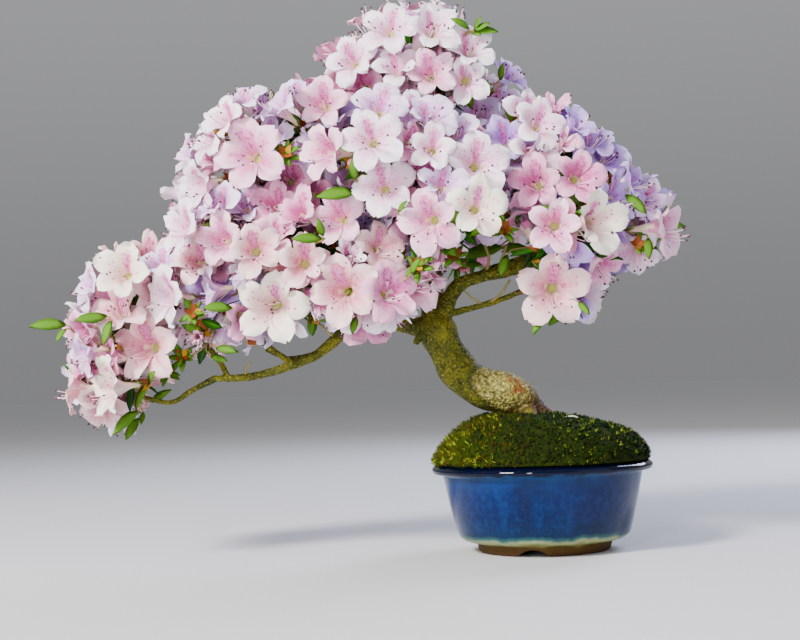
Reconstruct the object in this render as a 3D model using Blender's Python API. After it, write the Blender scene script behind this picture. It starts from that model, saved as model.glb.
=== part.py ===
"""A flowering azalea bonsai in a round glazed pot: pot, soil, moss, trunk, boughs and masses of blossom.

The tables are in millimetres, measured from the pot's axis at the ground, with -Y towards the front
and the tree leaning to -X. Each limb is a tapering tube. Each mass keeps to its own cell: a small
core, a stem that meets its bough, and forked twigs that carry blossoms and leaves out of the core.
At the end an empty carries the whole plant, so that the origin lies under the middle of its bounds.
"""

import math
import random

import bmesh
import bpy
from mathutils import Matrix, Quaternion, Vector
from mathutils.bvhtree import BVHTree

MM = 0.001
GAP = 0.3 * MM
# How far a bough's cut, a core's cut and a shoot stand off the limbs
BOUGH_CLEARANCE = 1.4 * GAP
CORE_CLEARANCE = 2 * GAP
SHOOT_CLEARANCE = 3 * GAP

# Pot, turned about its axis
RIM_RADIUS = 72.2
POT_HEIGHT = 57.8
FOOT_RADIUS = 42.5
FOOT_WIDTH = 6.0
FOOT_HEIGHT = 6.0
BASE_RADIUS = 56.0
BASE_HEIGHT = 11.5
FLOOR_TOP = 12.0
DRAIN_RADIUS = 6.5
WALL = 6.0
POT_STEPS = 36
ARCH_RADIUS = 14.5
ARCH_DEPTH = 10.5
ARCH_COUNT = 3
ARCH_AZIMUTH = 254.0

# Moss mound: higher on the left, flattened under the trunk
GROUND = 88.6
MOSS_RADIUS = 70.5
MOSS_RISE = 31.5
MOSS_SLOPE = -0.13
MOSS_FALL = 0.72
MOSS_FULLNESS = 2.8
MOSS_RINGS = 7
MOSS_SPOKES = 32

# Trunk: x, y, z, radius, from under the ground cut to the tip
TRUNK = (
    (3, 0, 78, 8.0),
    (-8, 0, 92.5, 11.0),
    (-21, 0, 101.5, 13.4),
    (-36, 0, 106.7, 12.9),
    (-50, 0, 116, 12.2),
    (-59, 0, 131, 11.7),
    (-65, 0, 145, 11.8),
    (-67.3, 1, 160, 8.4),
    (-68, 3, 180, 6.9),
    (-69.5, 4, 208, 5.8),
    (-71, 2, 240, 4.8),
    (-73, 0, 290, 2.8),
)
TRUNK_SIDES = 16
# Root flare: direction in degrees, reach from the trunk's foot, radius where it leaves
FLARES = ((-5, 21, 5.0), (-75, 18, 5.5), (80, 19, 5.5), (180, 21, 5.0))
FLARE_HEART = (-11, 0, 95)

# Boughs: start and end radius, then the points that each passes through
BOUGHS = {
    "left_bough": (6.8, 2.1, (-66, 0, 146), (-88, 0, 150.5), (-104, 2, 155.5), (-120, 0, 153),
                   (-137, 0, 138.5), (-153, 0, 129), (-186, 0, 120), (-214, 0, 119)),
    "left_tip_bough": (2.2, 1.4, (-212, 0, 119.5), (-228, 0, 112), (-242, 0, 104.5), (-259, -2, 108)),
    "left_low_bough": (2.2, 1.6, (-203, 0, 117), (-211, 3, 132), (-224, 3, 147), (-239, 0, 160)),
    "left_under_bough": (2.3, 1.7, (-160, 0, 126), (-172, -3, 135), (-187, -6, 147)),
    "left_front_bough": (2.6, 2.0, (-124, 0, 150), (-131, -6, 160), (-139, -14, 173)),
    "low_centre_bough": (2.6, 2.0, (-89, 0, 150), (-95, -10, 157), (-100, -20, 163)),
    "left_mid_bough": (4.6, 2.2, (-67.5, 2, 168), (-86, 11, 178), (-118, 17, 190), (-150, 14, 202),
                       (-174, 5, 211)),
    "upper_left_bough": (4.2, 2.3, (-69, 3, 202), (-90, 2, 218), (-115, -2, 235), (-137, -8, 252)),
    "upper_front_bough": (3.2, 2.2, (-70, 3, 222), (-76, -12, 233), (-84, -26, 244)),
    "centre_front_bough": (3.4, 2.2, (-68, 3, 180), (-64, -12, 193), (-60, -26, 206)),
    "upper_right_bough": (4.0, 2.3, (-69.5, 4, 212), (-50, 0, 227), (-32, -4, 240), (-17, -7, 250)),
    "right_bough": (6.2, 3.2, (-64, -2, 150), (-56.5, -4, 167), (-48, -6, 176), (-34, -8, 180),
                    (-18, -10, 182), (-5, -18, 186)),
    "right_tip_bough": (3.4, 2.1, (-40, -7, 178), (-28, 5, 185), (-4, 15, 193), (25, 12, 204),
                        (42, 6, 210)),
    "right_low_bough": (2.4, 1.8, (-66, 0, 154), (-50, -1, 158), (-36, -3, 161), (-21, -6, 165),
                        (-10, -12, 169)),
    "back_low_bough": (3.2, 2.2, (-68, 3, 184), (-67, 19, 196), (-66.5, 38, 206)),
    "back_left_bough": (3.8, 2.3, (-69, 4, 195), (-88, 19, 208), (-113, 34, 220), (-132, 43, 228)),
    "back_right_bough": (3.8, 2.3, (-69, 4, 199), (-50, 19, 212), (-28, 35, 222), (-11, 45, 228)),
    "back_top_bough": (3.0, 2.2, (-71, 2, 243), (-70, 17, 258), (-68, 33, 271)),
}
BOUGH_SIDES = 7

# Masses: centre, half sizes, and the limb whose tip the stem meets
MASSES = {
    "apex_blossom": ((-74, 0, 321), (62, 55, 41), "trunk"),
    "upper_left_blossom": ((-166, -15, 271), (58, 50, 38), "upper_left_bough"),
    "upper_front_blossom": ((-95, -48, 259), (55, 47, 39), "upper_front_bough"),
    "upper_right_blossom": ((6, -10, 259), (54, 50, 38), "upper_right_bough"),
    "right_tip_blossom": ((66, 0, 218), (37, 46, 36), "right_tip_bough"),
    "right_front_blossom": ((18, -42, 205), (42, 44, 35), "right_bough"),
    "right_low_blossom": ((12, -26, 172), (33, 35, 27), "right_low_bough"),
    "centre_front_blossom": ((-56, -50, 221), (47, 46, 33), "centre_front_bough"),
    "left_mid_blossom": ((-205, -12, 219), (46, 50, 37), "left_mid_bough"),
    "left_front_blossom": ((-151, -27, 194), (51, 50, 42), "left_front_bough"),
    "left_under_blossom": ((-204, -12, 163), (37, 38, 31), "left_under_bough"),
    "left_low_blossom": ((-253, 0, 178), (42, 43, 36), "left_low_bough"),
    "left_tip_blossom": ((-284, 0, 134), (37, 40, 43), "left_tip_bough"),
    "low_centre_blossom": ((-104, -38, 176), (38, 36, 31), "low_centre_bough"),
    "back_top_blossom": ((-64, 60, 290), (60, 48, 38), "back_top_bough"),
    "back_left_blossom": ((-164, 58, 236), (55, 48, 40), "back_left_bough"),
    "back_right_blossom": ((18, 58, 234), (55, 48, 40), "back_right_bough"),
    "back_low_blossom": ((-66, 72, 217), (50, 40, 36), "back_low_bough"),
}
CELL_GAP = 0.4
CORE_SINK = 24.0
CORE_LEAST = 0.34
STEM_RADIUS = 1.7
TWIG_RADIUS = 1.2
TWIG_LEAST = 3.0
FORK_AT = 0.8
AREA_PER_END = 1850.0
LEAFY_END = 7

# Blossom: a funnel that widens from its twig to five petals, each with a notch and two corners
BLOOM_RADIUS = 26.0
BLOOM_DEPTH = 24.0
THROAT_DEPTH = 13.0
TUBE_RADIUS = 3.8
TUBE_LENGTH = 9.0
NOTCH_SHARE = 0.62
NOTCH_BACK = 4.0
PETALS = 5
PETAL_HALF_ANGLE = 20.0
BLOOM_INSET = 5.0
# Size of a blossom and how far it leans off its shoot, tried in turn until it fits
BLOOM_TRIES = (
    (1.0, 0.15), (1.0, 0.4), (1.0, 0.7), (0.88, 0.3), (0.88, 0.6), (0.88, 0.9),
    (0.75, 0.4), (0.75, 0.7), (0.75, 1.0), (0.62, 0.5), (0.62, 0.8), (0.62, 1.1),
)

LEAF_LENGTH = 27.0
LEAF_WIDTH = 10.0
LEAF_THICKNESS = 0.9
LEAF_MIDDLE = 0.55
LEAF_ROOT = 2.5

COLOURS = {
    "glaze": ((0.02, 0.09, 0.36), 0.12),
    "soil": ((0.10, 0.07, 0.05), 0.9),
    "moss": ((0.10, 0.16, 0.02), 0.9),
    "bark": ((0.24, 0.19, 0.07), 0.8),
    "foliage": ((0.80, 0.58, 0.70), 0.6),
}


def clear_scene():
    for obj in list(bpy.data.objects):
        bpy.data.objects.remove(obj)


def material(slot):
    found = bpy.data.materials.get(slot)
    if found:
        return found
    colour, roughness = COLOURS[slot]
    made = bpy.data.materials.new(slot)
    made.use_nodes = True
    shader = made.node_tree.nodes["Principled BSDF"]
    shader.inputs["Base Color"].default_value = (*colour, 1.0)
    shader.inputs["Roughness"].default_value = roughness
    return made


def new_object(name, mesh, slot):
    obj = bpy.data.objects.new(name, mesh)
    bpy.context.scene.collection.objects.link(obj)
    mesh.materials.clear()
    mesh.materials.append(material(slot))
    return obj


def mesh_object(name, points, faces, slot):
    mesh = bpy.data.meshes.new(name)
    mesh.from_pydata(points, [], faces)
    return new_object(name, mesh, slot)


def boolean(target, others, operation):
    """Applies one Boolean with all the other solids to the target, and removes them."""
    group = bpy.data.collections.new("operands")
    bpy.context.scene.collection.children.link(group)
    for other in others:
        group.objects.link(other)
    modifier = target.modifiers.new("boolean", "BOOLEAN")
    modifier.operation = operation
    modifier.operand_type = "COLLECTION"
    modifier.collection = group
    graph = bpy.context.evaluated_depsgraph_get()
    mesh = bpy.data.meshes.new_from_object(target.evaluated_get(graph))
    target.modifiers.clear()
    target.data = mesh
    for other in others:
        bpy.data.objects.remove(other)
    bpy.data.collections.remove(group)


def keep_largest_body(obj):
    """Drops loose scraps, and the inner skins of hollows that a union has sealed."""
    shape = bmesh.new()
    shape.from_mesh(obj.data)
    left = set(shape.faces)
    bodies = []
    while left:
        body = []
        rim = [left.pop()]
        while rim:
            face = rim.pop()
            body.append(face)
            for edge in face.edges:
                for other in edge.link_faces:
                    if other in left:
                        left.discard(other)
                        rim.append(other)
        bodies.append(body)
    largest = max(bodies, key=len)
    scraps = [face for body in bodies if body is not largest for face in body]
    bmesh.ops.delete(shape, geom=scraps, context="FACES")
    shape.to_mesh(obj.data)
    shape.free()


def surface_tree(objects, margin=0.0):
    """A search tree of the objects' faces, grown by a margin along the normals."""
    points = []
    faces = []
    for obj in objects:
        shape = bmesh.new()
        shape.from_mesh(obj.data)
        shape.normal_update()
        first = len(points)
        points += [vert.co + vert.normal * margin for vert in shape.verts]
        faces += [[first + vert.index for vert in face.verts] for face in shape.faces]
        shape.free()
    return BVHTree.FromPolygons(points, faces)


# Pot, soil and moss
def turned(name, profile, steps, slot):
    """A profile of (radius, height), in millimetres, turned about the pot's axis.

    It runs down its outer side, and either starts and ends on the axis or closes on itself.
    """
    points = [(radius * MM, 0, height * MM) for radius, height in profile]
    edges = [(i, i + 1) for i in range(len(points) - 1)]
    if profile[0][0] > 0:
        edges.append((len(points) - 1, 0))
    mesh = bpy.data.meshes.new(name)
    mesh.from_pydata(points, edges, [])
    obj = new_object(name, mesh, slot)
    screw = obj.modifiers.new("turn", "SCREW")
    screw.steps = steps
    screw.render_steps = steps
    screw.use_merge_vertices = True
    screw.merge_threshold = 0.00001
    return obj


def pot_wall(height):
    """Outer radius of the pot's body between the foot and the groove under the rim."""
    low, high = (BASE_RADIUS, BASE_HEIGHT), (RIM_RADIUS - 6.8, 50.5)
    share = (height - low[1]) / (high[1] - low[1])
    return low[0] + (high[0] - low[0]) * share ** 0.85


def build_pot():
    outer = [(FOOT_RADIUS, 0), (FOOT_RADIUS + 1.5, FOOT_HEIGHT), (BASE_RADIUS - 3.5, 8)]
    outer += [(pot_wall(height), height) for height in (BASE_HEIGHT, 17, 28, 39, 50.5)]
    rim = [
        (RIM_RADIUS - 1.2, 51.5),
        (RIM_RADIUS, 53.5),
        (RIM_RADIUS, 56.0),
        (RIM_RADIUS - 1.7, POT_HEIGHT - 0.2),
        (RIM_RADIUS - 7.2, POT_HEIGHT),
        (RIM_RADIUS - 9.4, 56.0),
    ]
    inner = [
        (pot_wall(16) - WALL, 16),
        (pot_wall(12.5) - WALL - 2, FLOOR_TOP),
        (DRAIN_RADIUS, FLOOR_TOP),
    ]
    under = [(DRAIN_RADIUS, FOOT_HEIGHT + 1), (FOOT_RADIUS - FOOT_WIDTH - 1.5, FOOT_HEIGHT)]
    foot = [(FOOT_RADIUS - FOOT_WIDTH, 0)]
    profile = under[::-1] + inner[::-1] + rim[::-1] + outer[::-1] + foot
    pot = turned("pot", profile, POT_STEPS, "glaze")
    cutters = bpy.data.collections.new("foot_arches")
    bpy.context.scene.collection.children.link(cutters)
    for index in range(ARCH_COUNT):
        azimuth = math.radians(ARCH_AZIMUTH + index * 360 / ARCH_COUNT)
        shape = bmesh.new()
        bmesh.ops.create_cone(
            shape,
            cap_ends=True,
            segments=24,
            radius1=ARCH_RADIUS * MM,
            radius2=ARCH_RADIUS * MM,
            depth=30 * MM,
        )
        mesh = bpy.data.meshes.new("foot_arch")
        shape.to_mesh(mesh)
        shape.free()
        arch = bpy.data.objects.new(f"foot_arch_{index}", mesh)
        cutters.objects.link(arch)
        reach = FOOT_RADIUS * MM
        arch.location = (reach * math.cos(azimuth), reach * math.sin(azimuth), -ARCH_DEPTH * MM)
        arch.rotation_euler = (0, math.pi / 2, azimuth)
        arch.parent = pot
        arch.hide_render = True
        arch.display_type = "WIRE"
    cut = pot.modifiers.new("foot_arches", "BOOLEAN")
    cut.operation = "DIFFERENCE"
    cut.operand_type = "COLLECTION"
    cut.collection = cutters
    return pot


def build_soil():
    clear = GAP / MM
    return turned(
        "soil",
        [
            (0, POT_HEIGHT - 0.3),
            (RIM_RADIUS - 9.6, POT_HEIGHT - 0.3),
            (RIM_RADIUS - 9.8, 56.0),
            (pot_wall(16) - WALL - clear, 16 + clear),
            (pot_wall(12.5) - WALL - 2.3, FLOOR_TOP + clear),
            (0, FLOOR_TOP + clear),
        ],
        POT_STEPS // 2,
        "soil",
    )


def moss_height(x, y):
    """Height of the mound's top, in millimetres, above the pot's axis at the ground."""
    share = min(math.hypot(x, y) / MOSS_RADIUS, 1.0)
    fullness = MOSS_FULLNESS + x / MOSS_RADIUS
    rise = (MOSS_RISE + MOSS_SLOPE * x) * (1 - share**fullness) ** MOSS_FALL
    lumps = 1.2 * math.sin(0.11 * x + 1.0) * math.cos(0.13 * y)
    level = POT_HEIGHT + 0.3 + max(rise + lumps * (1 - share), 2.2)
    return min(level, GROUND - GAP / MM)


def build_moss():
    base = (POT_HEIGHT + 0.3) * MM
    rings = []
    points = []
    for ring in range(1, MOSS_RINGS + 1):
        share = (ring / MOSS_RINGS) ** 0.7
        row = []
        for spoke in range(MOSS_SPOKES):
            angle = 2 * math.pi * spoke / MOSS_SPOKES
            x = MOSS_RADIUS * share * math.cos(angle)
            y = MOSS_RADIUS * share * math.sin(angle)
            row.append(len(points))
            points.append((x * MM, y * MM, moss_height(x, y) * MM))
        rings.append(row)
    row = []
    for spoke in range(MOSS_SPOKES):
        angle = 2 * math.pi * spoke / MOSS_SPOKES
        row.append(len(points))
        points.append((MOSS_RADIUS * MM * math.cos(angle), MOSS_RADIUS * MM * math.sin(angle), base))
    rings.append(row)
    top, bottom = len(points), len(points) + 1
    points += [(0, 0, moss_height(0, 0) * MM), (0, 0, base)]
    faces = []
    for spoke in range(MOSS_SPOKES):
        after = (spoke + 1) % MOSS_SPOKES
        faces.append((top, rings[0][spoke], rings[0][after]))
        for inner, outer in zip(rings, rings[1:]):
            faces.append((inner[spoke], outer[spoke], outer[after], inner[after]))
        faces.append((rings[-1][spoke], bottom, rings[-1][after]))
    return mesh_object("moss", points, faces, "moss")


# Limbs
def smooth_route(knots, spans):
    """Points on a Catmull-Rom curve through the knots, with so many spans between each two."""
    knots = [Vector(knot) for knot in knots]
    padded = [2 * knots[0] - knots[1], *knots, 2 * knots[-1] - knots[-2]]
    route = []
    for a, b, c, d in zip(padded, padded[1:], padded[2:], padded[3:]):
        for step in range(spans):
            t = step / spans
            route.append(
                0.5
                * (
                    2 * b
                    + (c - a) * t
                    + (2 * a - 5 * b + 4 * c - d) * t**2
                    + (3 * b - 3 * c + d - a) * t**3
                )
            )
    route.append(knots[-1])
    return route


def tube_shape(route, radii, sides):
    """Points and faces of a closed tube along a route."""
    points = []
    side = None
    for index, place in enumerate(route):
        ahead = route[min(index + 1, len(route) - 1)]
        behind = route[max(index - 1, 0)]
        along = (ahead - behind).normalized()
        if side is None:
            side = along.orthogonal().normalized()
        side = (side - along * side.dot(along)).normalized()
        across = along.cross(side)
        for corner in range(sides):
            angle = 2 * math.pi * corner / sides
            points.append(place + radii[index] * (side * math.cos(angle) + across * math.sin(angle)))
    faces = [tuple(reversed(range(sides)))]
    for ring in range(len(route) - 1):
        for corner in range(sides):
            after = (corner + 1) % sides
            low, high = ring * sides, (ring + 1) * sides
            faces.append((low + corner, low + after, high + after, high + corner))
    faces.append(tuple(range(len(points) - sides, len(points))))
    return points, faces


def limb_route(name):
    """Route, radii and sides of a trunk or bough, in metres."""
    if name == "trunk":
        route = smooth_route([Vector(knot) for knot in TRUNK], 2)
        return [p.xyz * MM for p in route], [p[3] * MM for p in route], TRUNK_SIDES
    start, end, *knots = BOUGHS[name]
    route = smooth_route(knots, 2)
    last = len(route) - 1
    radii = [(start + (end - start) * (index / last) ** 0.7) * MM for index in range(last + 1)]
    return [p * MM for p in route], radii, BOUGH_SIDES


def limb(name, grown=0.0):
    """The limb's solid, or a cutter that stands off it by so much all round and past its ends."""
    route, radii, sides = limb_route(name)
    if grown:
        route = list(route)
        route[0] = route[0] + (route[0] - route[1]).normalized() * grown
        route[-1] = route[-1] + (route[-1] - route[-2]).normalized() * grown
        radii = [radius + grown for radius in radii]
    points, faces = tube_shape(route, radii, sides)
    return mesh_object(name + ("_cutter" if grown else ""), points, faces, "bark")


def root_flares():
    heart = Vector(FLARE_HEART)
    made = []
    for number, (azimuth, reach, radius) in enumerate(FLARES):
        away = Vector((math.cos(math.radians(azimuth)), math.sin(math.radians(azimuth)), 0))
        knots = [heart + away * 2, heart + away * reach * 0.6 - Vector((0, 0, 5)), heart + away * reach]
        knots[-1].z = GROUND - 5
        route = [p * MM for p in smooth_route(knots, 2)]
        radii = [(radius + 1.5 - 3.0 * index / (len(route) - 1)) * MM for index in range(len(route))]
        points, faces = tube_shape(route, radii, BOUGH_SIDES)
        made.append(mesh_object(f"flare_{number}", points, faces, "bark"))
    return made


def cut_flat(obj, height):
    """Removes what lies below a height and closes the cut."""
    shape = bmesh.new()
    shape.from_mesh(obj.data)
    everything = shape.verts[:] + shape.edges[:] + shape.faces[:]
    cut = bmesh.ops.bisect_plane(
        shape, geom=everything, plane_co=(0, 0, height), plane_no=(0, 0, -1), clear_outer=True
    )
    edges = [piece for piece in cut["geom_cut"] if isinstance(piece, bmesh.types.BMEdge)]
    bmesh.ops.holes_fill(shape, edges=edges, sides=0)
    bmesh.ops.recalc_face_normals(shape, faces=shape.faces)
    shape.to_mesh(obj.data)
    shape.free()


def touching(obj, limbs):
    """Names of the limbs that the object meets or all but meets."""
    tree = surface_tree([obj])
    return [name for name in limbs if tree.overlap(surface_tree([limbs[name]], 2 * GAP))]


def build_limbs():
    """The trunk and its boughs, each cut clear of the earlier limbs that it springs from."""
    trunk = limb("trunk")
    boolean(trunk, root_flares(), "UNION")
    keep_largest_body(trunk)
    cut_flat(trunk, GROUND * MM)
    limbs = {"trunk": trunk}
    for name in BOUGHS:
        bough = limb(name)
        parents = touching(bough, limbs)
        if parents:
            boolean(bough, [limb(parent, BOUGH_CLEARANCE) for parent in parents], "DIFFERENCE")
            keep_largest_body(bough)
        limbs[name] = bough
    return limbs


# Masses
class Cell:
    """The space of one mass: its ellipsoid, and a plane against each neighbour."""

    def __init__(self, name):
        centre, half, self.carrier = MASSES[name]
        self.name = name
        self.centre = Vector(centre) * MM
        self.half = Vector(half) * MM
        self.core = Vector(max(size - CORE_SINK, CORE_LEAST * size) for size in half) * MM
        self.grown = []
        self.planes = []
        for other, (centre, half, _) in MASSES.items():
            if other == name:
                continue
            apart = Vector(centre) * MM - self.centre
            away = apart.normalized()
            own = self.support(self.half, away)
            theirs = self.support(Vector(half) * MM, away)
            if apart.length < 1.6 * (own + theirs):
                distance = apart.length * own / (own + theirs) - CELL_GAP / 2 * MM
                self.planes.append((away, distance))

    @staticmethod
    def support(half, away):
        return math.sqrt(sum((size * step) ** 2 for size, step in zip(half, away)))

    def surface(self, away):
        return self.centre + Vector(size * step for size, step in zip(self.half, away))

    def normal(self, away):
        return Vector(step / size for size, step in zip(self.half, away)).normalized()

    def holds(self, points):
        return all(
            (point - self.centre).dot(away) < distance
            for point in points
            for away, distance in self.planes
        )

    def takes(self, shape, limb_tree):
        """Keeps a blossom or leaf if it stays in the cell and touches no limb and none kept before."""
        if not self.holds(shape[0]):
            return False
        tree = BVHTree.FromPolygons(*shape)
        if any(tree.overlap(other) for other in (limb_tree, *self.grown)):
            return False
        self.grown.append(tree)
        return True

    def in_core(self, points):
        """Whether any of the points lies inside the core."""
        return any(
            sum((step / size) ** 2 for step, size in zip(point - self.centre, self.core)) < 1
            for point in points
        )

    def drawn_in(self, point, reach, facing):
        """The point moved in from each plane, so that a disc of that reach clears it."""
        for away, distance in self.planes:
            needed = reach * math.sqrt(max(0.0, 1 - facing.dot(away) ** 2))
            over = (point - self.centre).dot(away) + needed - distance
            if over > 0:
                point = point - away * over
        return point


def spread_directions(count, rng):
    """Directions spread evenly over a sphere, turned by a random angle."""
    golden = math.pi * (3 - math.sqrt(5))
    turn = rng.uniform(0, 2 * math.pi)
    made = []
    for index in range(count):
        up = 1 - (2 * index + 1) / count
        flat = math.sqrt(1 - up * up)
        angle = golden * index + turn
        made.append(Vector((flat * math.cos(angle), flat * math.sin(angle), up)))
    return made


def exposed(cell, point):
    """Whether a point of the cell's ellipsoid lies outside every other mass."""
    for other, (centre, half, _) in MASSES.items():
        if other == cell.name:
            continue
        offset = point / MM - Vector(centre)
        if sum((step / size) ** 2 for step, size in zip(offset, half)) < 0.85:
            return False
    return True


def bloom_shape(size):
    """Points and faces of a five-petalled funnel along +Z. Its first three points close its back."""
    radius, depth = BLOOM_RADIUS * size * MM, BLOOM_DEPTH * size * MM
    points = []
    for ring_radius, height in ((TWIG_RADIUS, 0), (TUBE_RADIUS * size, TUBE_LENGTH * size)):
        for corner in range(3):
            angle = 2 * math.pi * corner / 3
            points.append(Vector((math.cos(angle), math.sin(angle), 0)) * ring_radius * MM)
            points[-1].z = height * MM
    rim = []
    for petal in range(PETALS):
        middle = 360 * petal / PETALS
        for turn, share, back in (
            (-180 / PETALS, NOTCH_SHARE, NOTCH_BACK),
            (-PETAL_HALF_ANGLE, 1.0, 0.0),
            (PETAL_HALF_ANGLE, 1.0, 0.0),
        ):
            angle = math.radians(middle + turn)
            across = radius * share
            height = depth - back * size * MM
            rim.append(Vector((across * math.cos(angle), across * math.sin(angle), height)))
    throat = len(points)
    first = throat + 1
    points += [Vector((0, 0, depth - THROAT_DEPTH * size * MM)), *rim]
    faces = [(2, 1, 0)]
    for corner in range(3):
        after = (corner + 1) % 3
        faces.append((corner, after, 3 + after, 3 + corner))
    for index in range(len(rim)):
        here, after = first + index, first + (index + 1) % len(rim)
        faces.append((throat, here, after))
        corner, corner_after = nearest_corner(index, len(rim)), nearest_corner(index + 1, len(rim))
        faces.append((3 + corner, after, here))
        if corner != corner_after:
            faces.append((3 + corner, 3 + corner_after, after))
    return points, faces


def nearest_corner(index, count):
    """Which of the tube's three corners carries a point of the rim."""
    return (index * 3 // count) % 3


def on_twig(shape, fork):
    """The shape with its back drawn out into a three-sided twig from the fork."""
    points, faces = shape
    back = sum(points[:3], Vector()) / 3
    first = len(points)
    points = points + [fork + point - back for point in points[:3]]
    faces = faces[1:] + [(first + 2, first + 1, first)]
    for corner in range(3):
        after = (corner + 1) % 3
        faces.append((first + corner, first + after, after, corner))
    return points, faces


def leaf_shape(size):
    """Points and faces of an eight-faced leaf that runs along +Z from its root at the origin."""
    length, width, thick = (value * size * MM for value in (LEAF_LENGTH, LEAF_WIDTH, LEAF_THICKNESS))
    middle = length * LEAF_MIDDLE
    points = [
        Vector((0, 0, 0)),
        Vector((width / 2, 0, middle)),
        Vector((0, thick / 2, middle)),
        Vector((-width / 2, 0, middle)),
        Vector((0, -thick / 2, middle)),
        Vector((0, 0, length)),
    ]
    faces = []
    for corner in range(4):
        here, after = 1 + corner, 1 + (corner + 1) % 4
        faces.append((0, after, here))
        faces.append((5, here, after))
    return points, faces


def placed(shape, place, along, spin):
    """The shape turned from +Z to a direction, spun about it, and moved to its place."""
    points, faces = shape
    turn = along.to_track_quat("Z", "Y") @ Quaternion((0, 0, 1), spin)
    matrix = Matrix.Translation(place) @ turn.to_matrix().to_4x4()
    return [matrix @ point for point in points], faces


def core_of(cell, limbs):
    """A small ellipsoid inside the cell, cut clear of the limbs that pass it."""
    shape = bmesh.new()
    bmesh.ops.create_icosphere(shape, subdivisions=2, radius=1.0)
    for vert in shape.verts:
        vert.co = cell.centre + Vector(size * step for size, step in zip(cell.core, vert.co))
    for away, distance in cell.planes:
        everything = shape.verts[:] + shape.edges[:] + shape.faces[:]
        cut = bmesh.ops.bisect_plane(
            shape,
            geom=everything,
            plane_co=cell.centre + away * distance,
            plane_no=away,
            clear_outer=True,
        )
        edges = [piece for piece in cut["geom_cut"] if isinstance(piece, bmesh.types.BMEdge)]
        if edges:
            bmesh.ops.holes_fill(shape, edges=edges, sides=0)
    bmesh.ops.recalc_face_normals(shape, faces=shape.faces)
    mesh = bpy.data.meshes.new(cell.name)
    shape.to_mesh(mesh)
    shape.free()
    core = new_object(cell.name, mesh, "foliage")
    passing = touching(core, limbs)
    if passing:
        boolean(core, [limb(name, CORE_CLEARANCE) for name in passing], "DIFFERENCE")
        keep_largest_body(core)
    return core


def stem_of(cell):
    """From 0.3 mm past the carrier's tip to the middle of the mass."""
    route, radii, _ = limb_route(cell.carrier)
    along = (route[-1] - route[-2]).normalized()
    start = route[-1] + along * GAP
    reach = (cell.centre - start).length
    radius = min(STEM_RADIUS * MM, radii[-1])
    path = [start, start + along * reach * 0.35, cell.centre]
    return tube_shape(path, [radius] * len(path), 5)


def pairs_of(ends):
    """Ends taken two by two, each with its nearest, so that every pair shares one shoot."""
    left = list(ends)
    pairs = []
    while left:
        first = left.pop(0)
        if left and (nearest := max(left, key=first.dot)).dot(first) > 0.2:
            left.remove(nearest)
            pairs.append((first, nearest))
        else:
            pairs.append((first,))
    return pairs


def bloom_at(cell, away, fork, tree, rng):
    """A blossom that fits at one end, the place of its back and the way it faces, or None."""
    normal = cell.normal(away)
    for size, lean in BLOOM_TRIES:
        wander = Vector(rng.uniform(-1, 1) for _ in range(3))
        facing = (normal + wander * lean).normalized()
        rim = cell.surface(away) - normal * BLOOM_INSET * MM
        rim = cell.drawn_in(rim, BLOOM_RADIUS * size * MM, facing)
        back = rim - facing * BLOOM_DEPTH * size * MM
        shape = placed(bloom_shape(size), back, facing, rng.uniform(0, 2 * math.pi))
        rim_points = shape[0][-3 * PETALS :]
        ahead = (back - fork).dot(facing) > TWIG_LEAST * MM
        if ahead and not cell.in_core(rim_points) and cell.takes(shape, tree):
            return shape, back, facing
    return None


def leaves_at(cell, place, along, count, tree, rng):
    """Up to so many leaves round a twig, rooted in its middle."""
    made = []
    side = along.orthogonal().normalized()
    start = rng.uniform(0, 2 * math.pi)
    for index in range(count):
        turn = Quaternion(along, start + 2 * math.pi * index / count + rng.uniform(-0.3, 0.3))
        outward = (along * rng.uniform(0.45, 0.8) + turn @ side).normalized()
        shape = placed(leaf_shape(rng.uniform(0.85, 1.1)), place, outward, rng.uniform(0, math.pi))
        if cell.takes(shape, tree):
            made.append(shape)
    return made


def shoot_pieces(cell, pair, tree, rng):
    """One shoot from the heart: it forks once, and each fork ends in a blossom or a whorl of leaves."""
    middle = sum(pair, Vector()).normalized()
    fork = cell.centre + Vector(FORK_AT * size * step for size, step in zip(cell.core, middle))
    pieces = []
    radius = TWIG_RADIUS * MM
    for away in pair:
        leafy = rng.randrange(LEAFY_END) == 0
        found = None if leafy else bloom_at(cell, away, fork, tree, rng)
        if found:
            shape, end, along = found
            twig = on_twig(shape, fork)
            root = end + along * LEAF_ROOT * MM
            leaves = leaves_at(cell, root, along, rng.choice((1, 1, 2)), tree, rng)
        else:
            along = cell.normal(away)
            end = cell.centre.lerp(cell.surface(away), 0.72)
            twig = tube_shape([fork, end], [radius, 0.75 * radius], 3)
            leaves = leaves_at(cell, fork.lerp(end, 0.9), along, 4, tree, rng)
        reached = cell.holds(twig[0]) and not tree.overlap(BVHTree.FromPolygons(*twig))
        if reached and (found or leaves):
            pieces += [twig, *leaves]
    if pieces:
        shoot = [cell.centre, fork + (fork - cell.centre).normalized() * radius]
        pieces.append(tube_shape(shoot, [1.3 * radius, 1.3 * radius], 3))
    return pieces


def build_mass(name, limbs, tree):
    cell = Cell(name)
    rng = random.Random(name)
    core = core_of(cell, limbs)
    a, b, c = cell.half / MM
    area = 4 * math.pi * ((a * b) ** 1.6 / 3 + (a * c) ** 1.6 / 3 + (b * c) ** 1.6 / 3) ** (1 / 1.6)
    ends = [
        away
        for away in spread_directions(round(area / AREA_PER_END), rng)
        if exposed(cell, cell.surface(away))
    ]
    shapes = [stem_of(cell)]
    for pair in pairs_of(ends):
        shapes += shoot_pieces(cell, pair, tree, rng)
    pieces = [
        mesh_object(f"{name}_piece_{index}", points, faces, "foliage")
        for index, (points, faces) in enumerate(shapes)
    ]
    boolean(core, pieces, "UNION")
    keep_largest_body(core)
    return core


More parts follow.
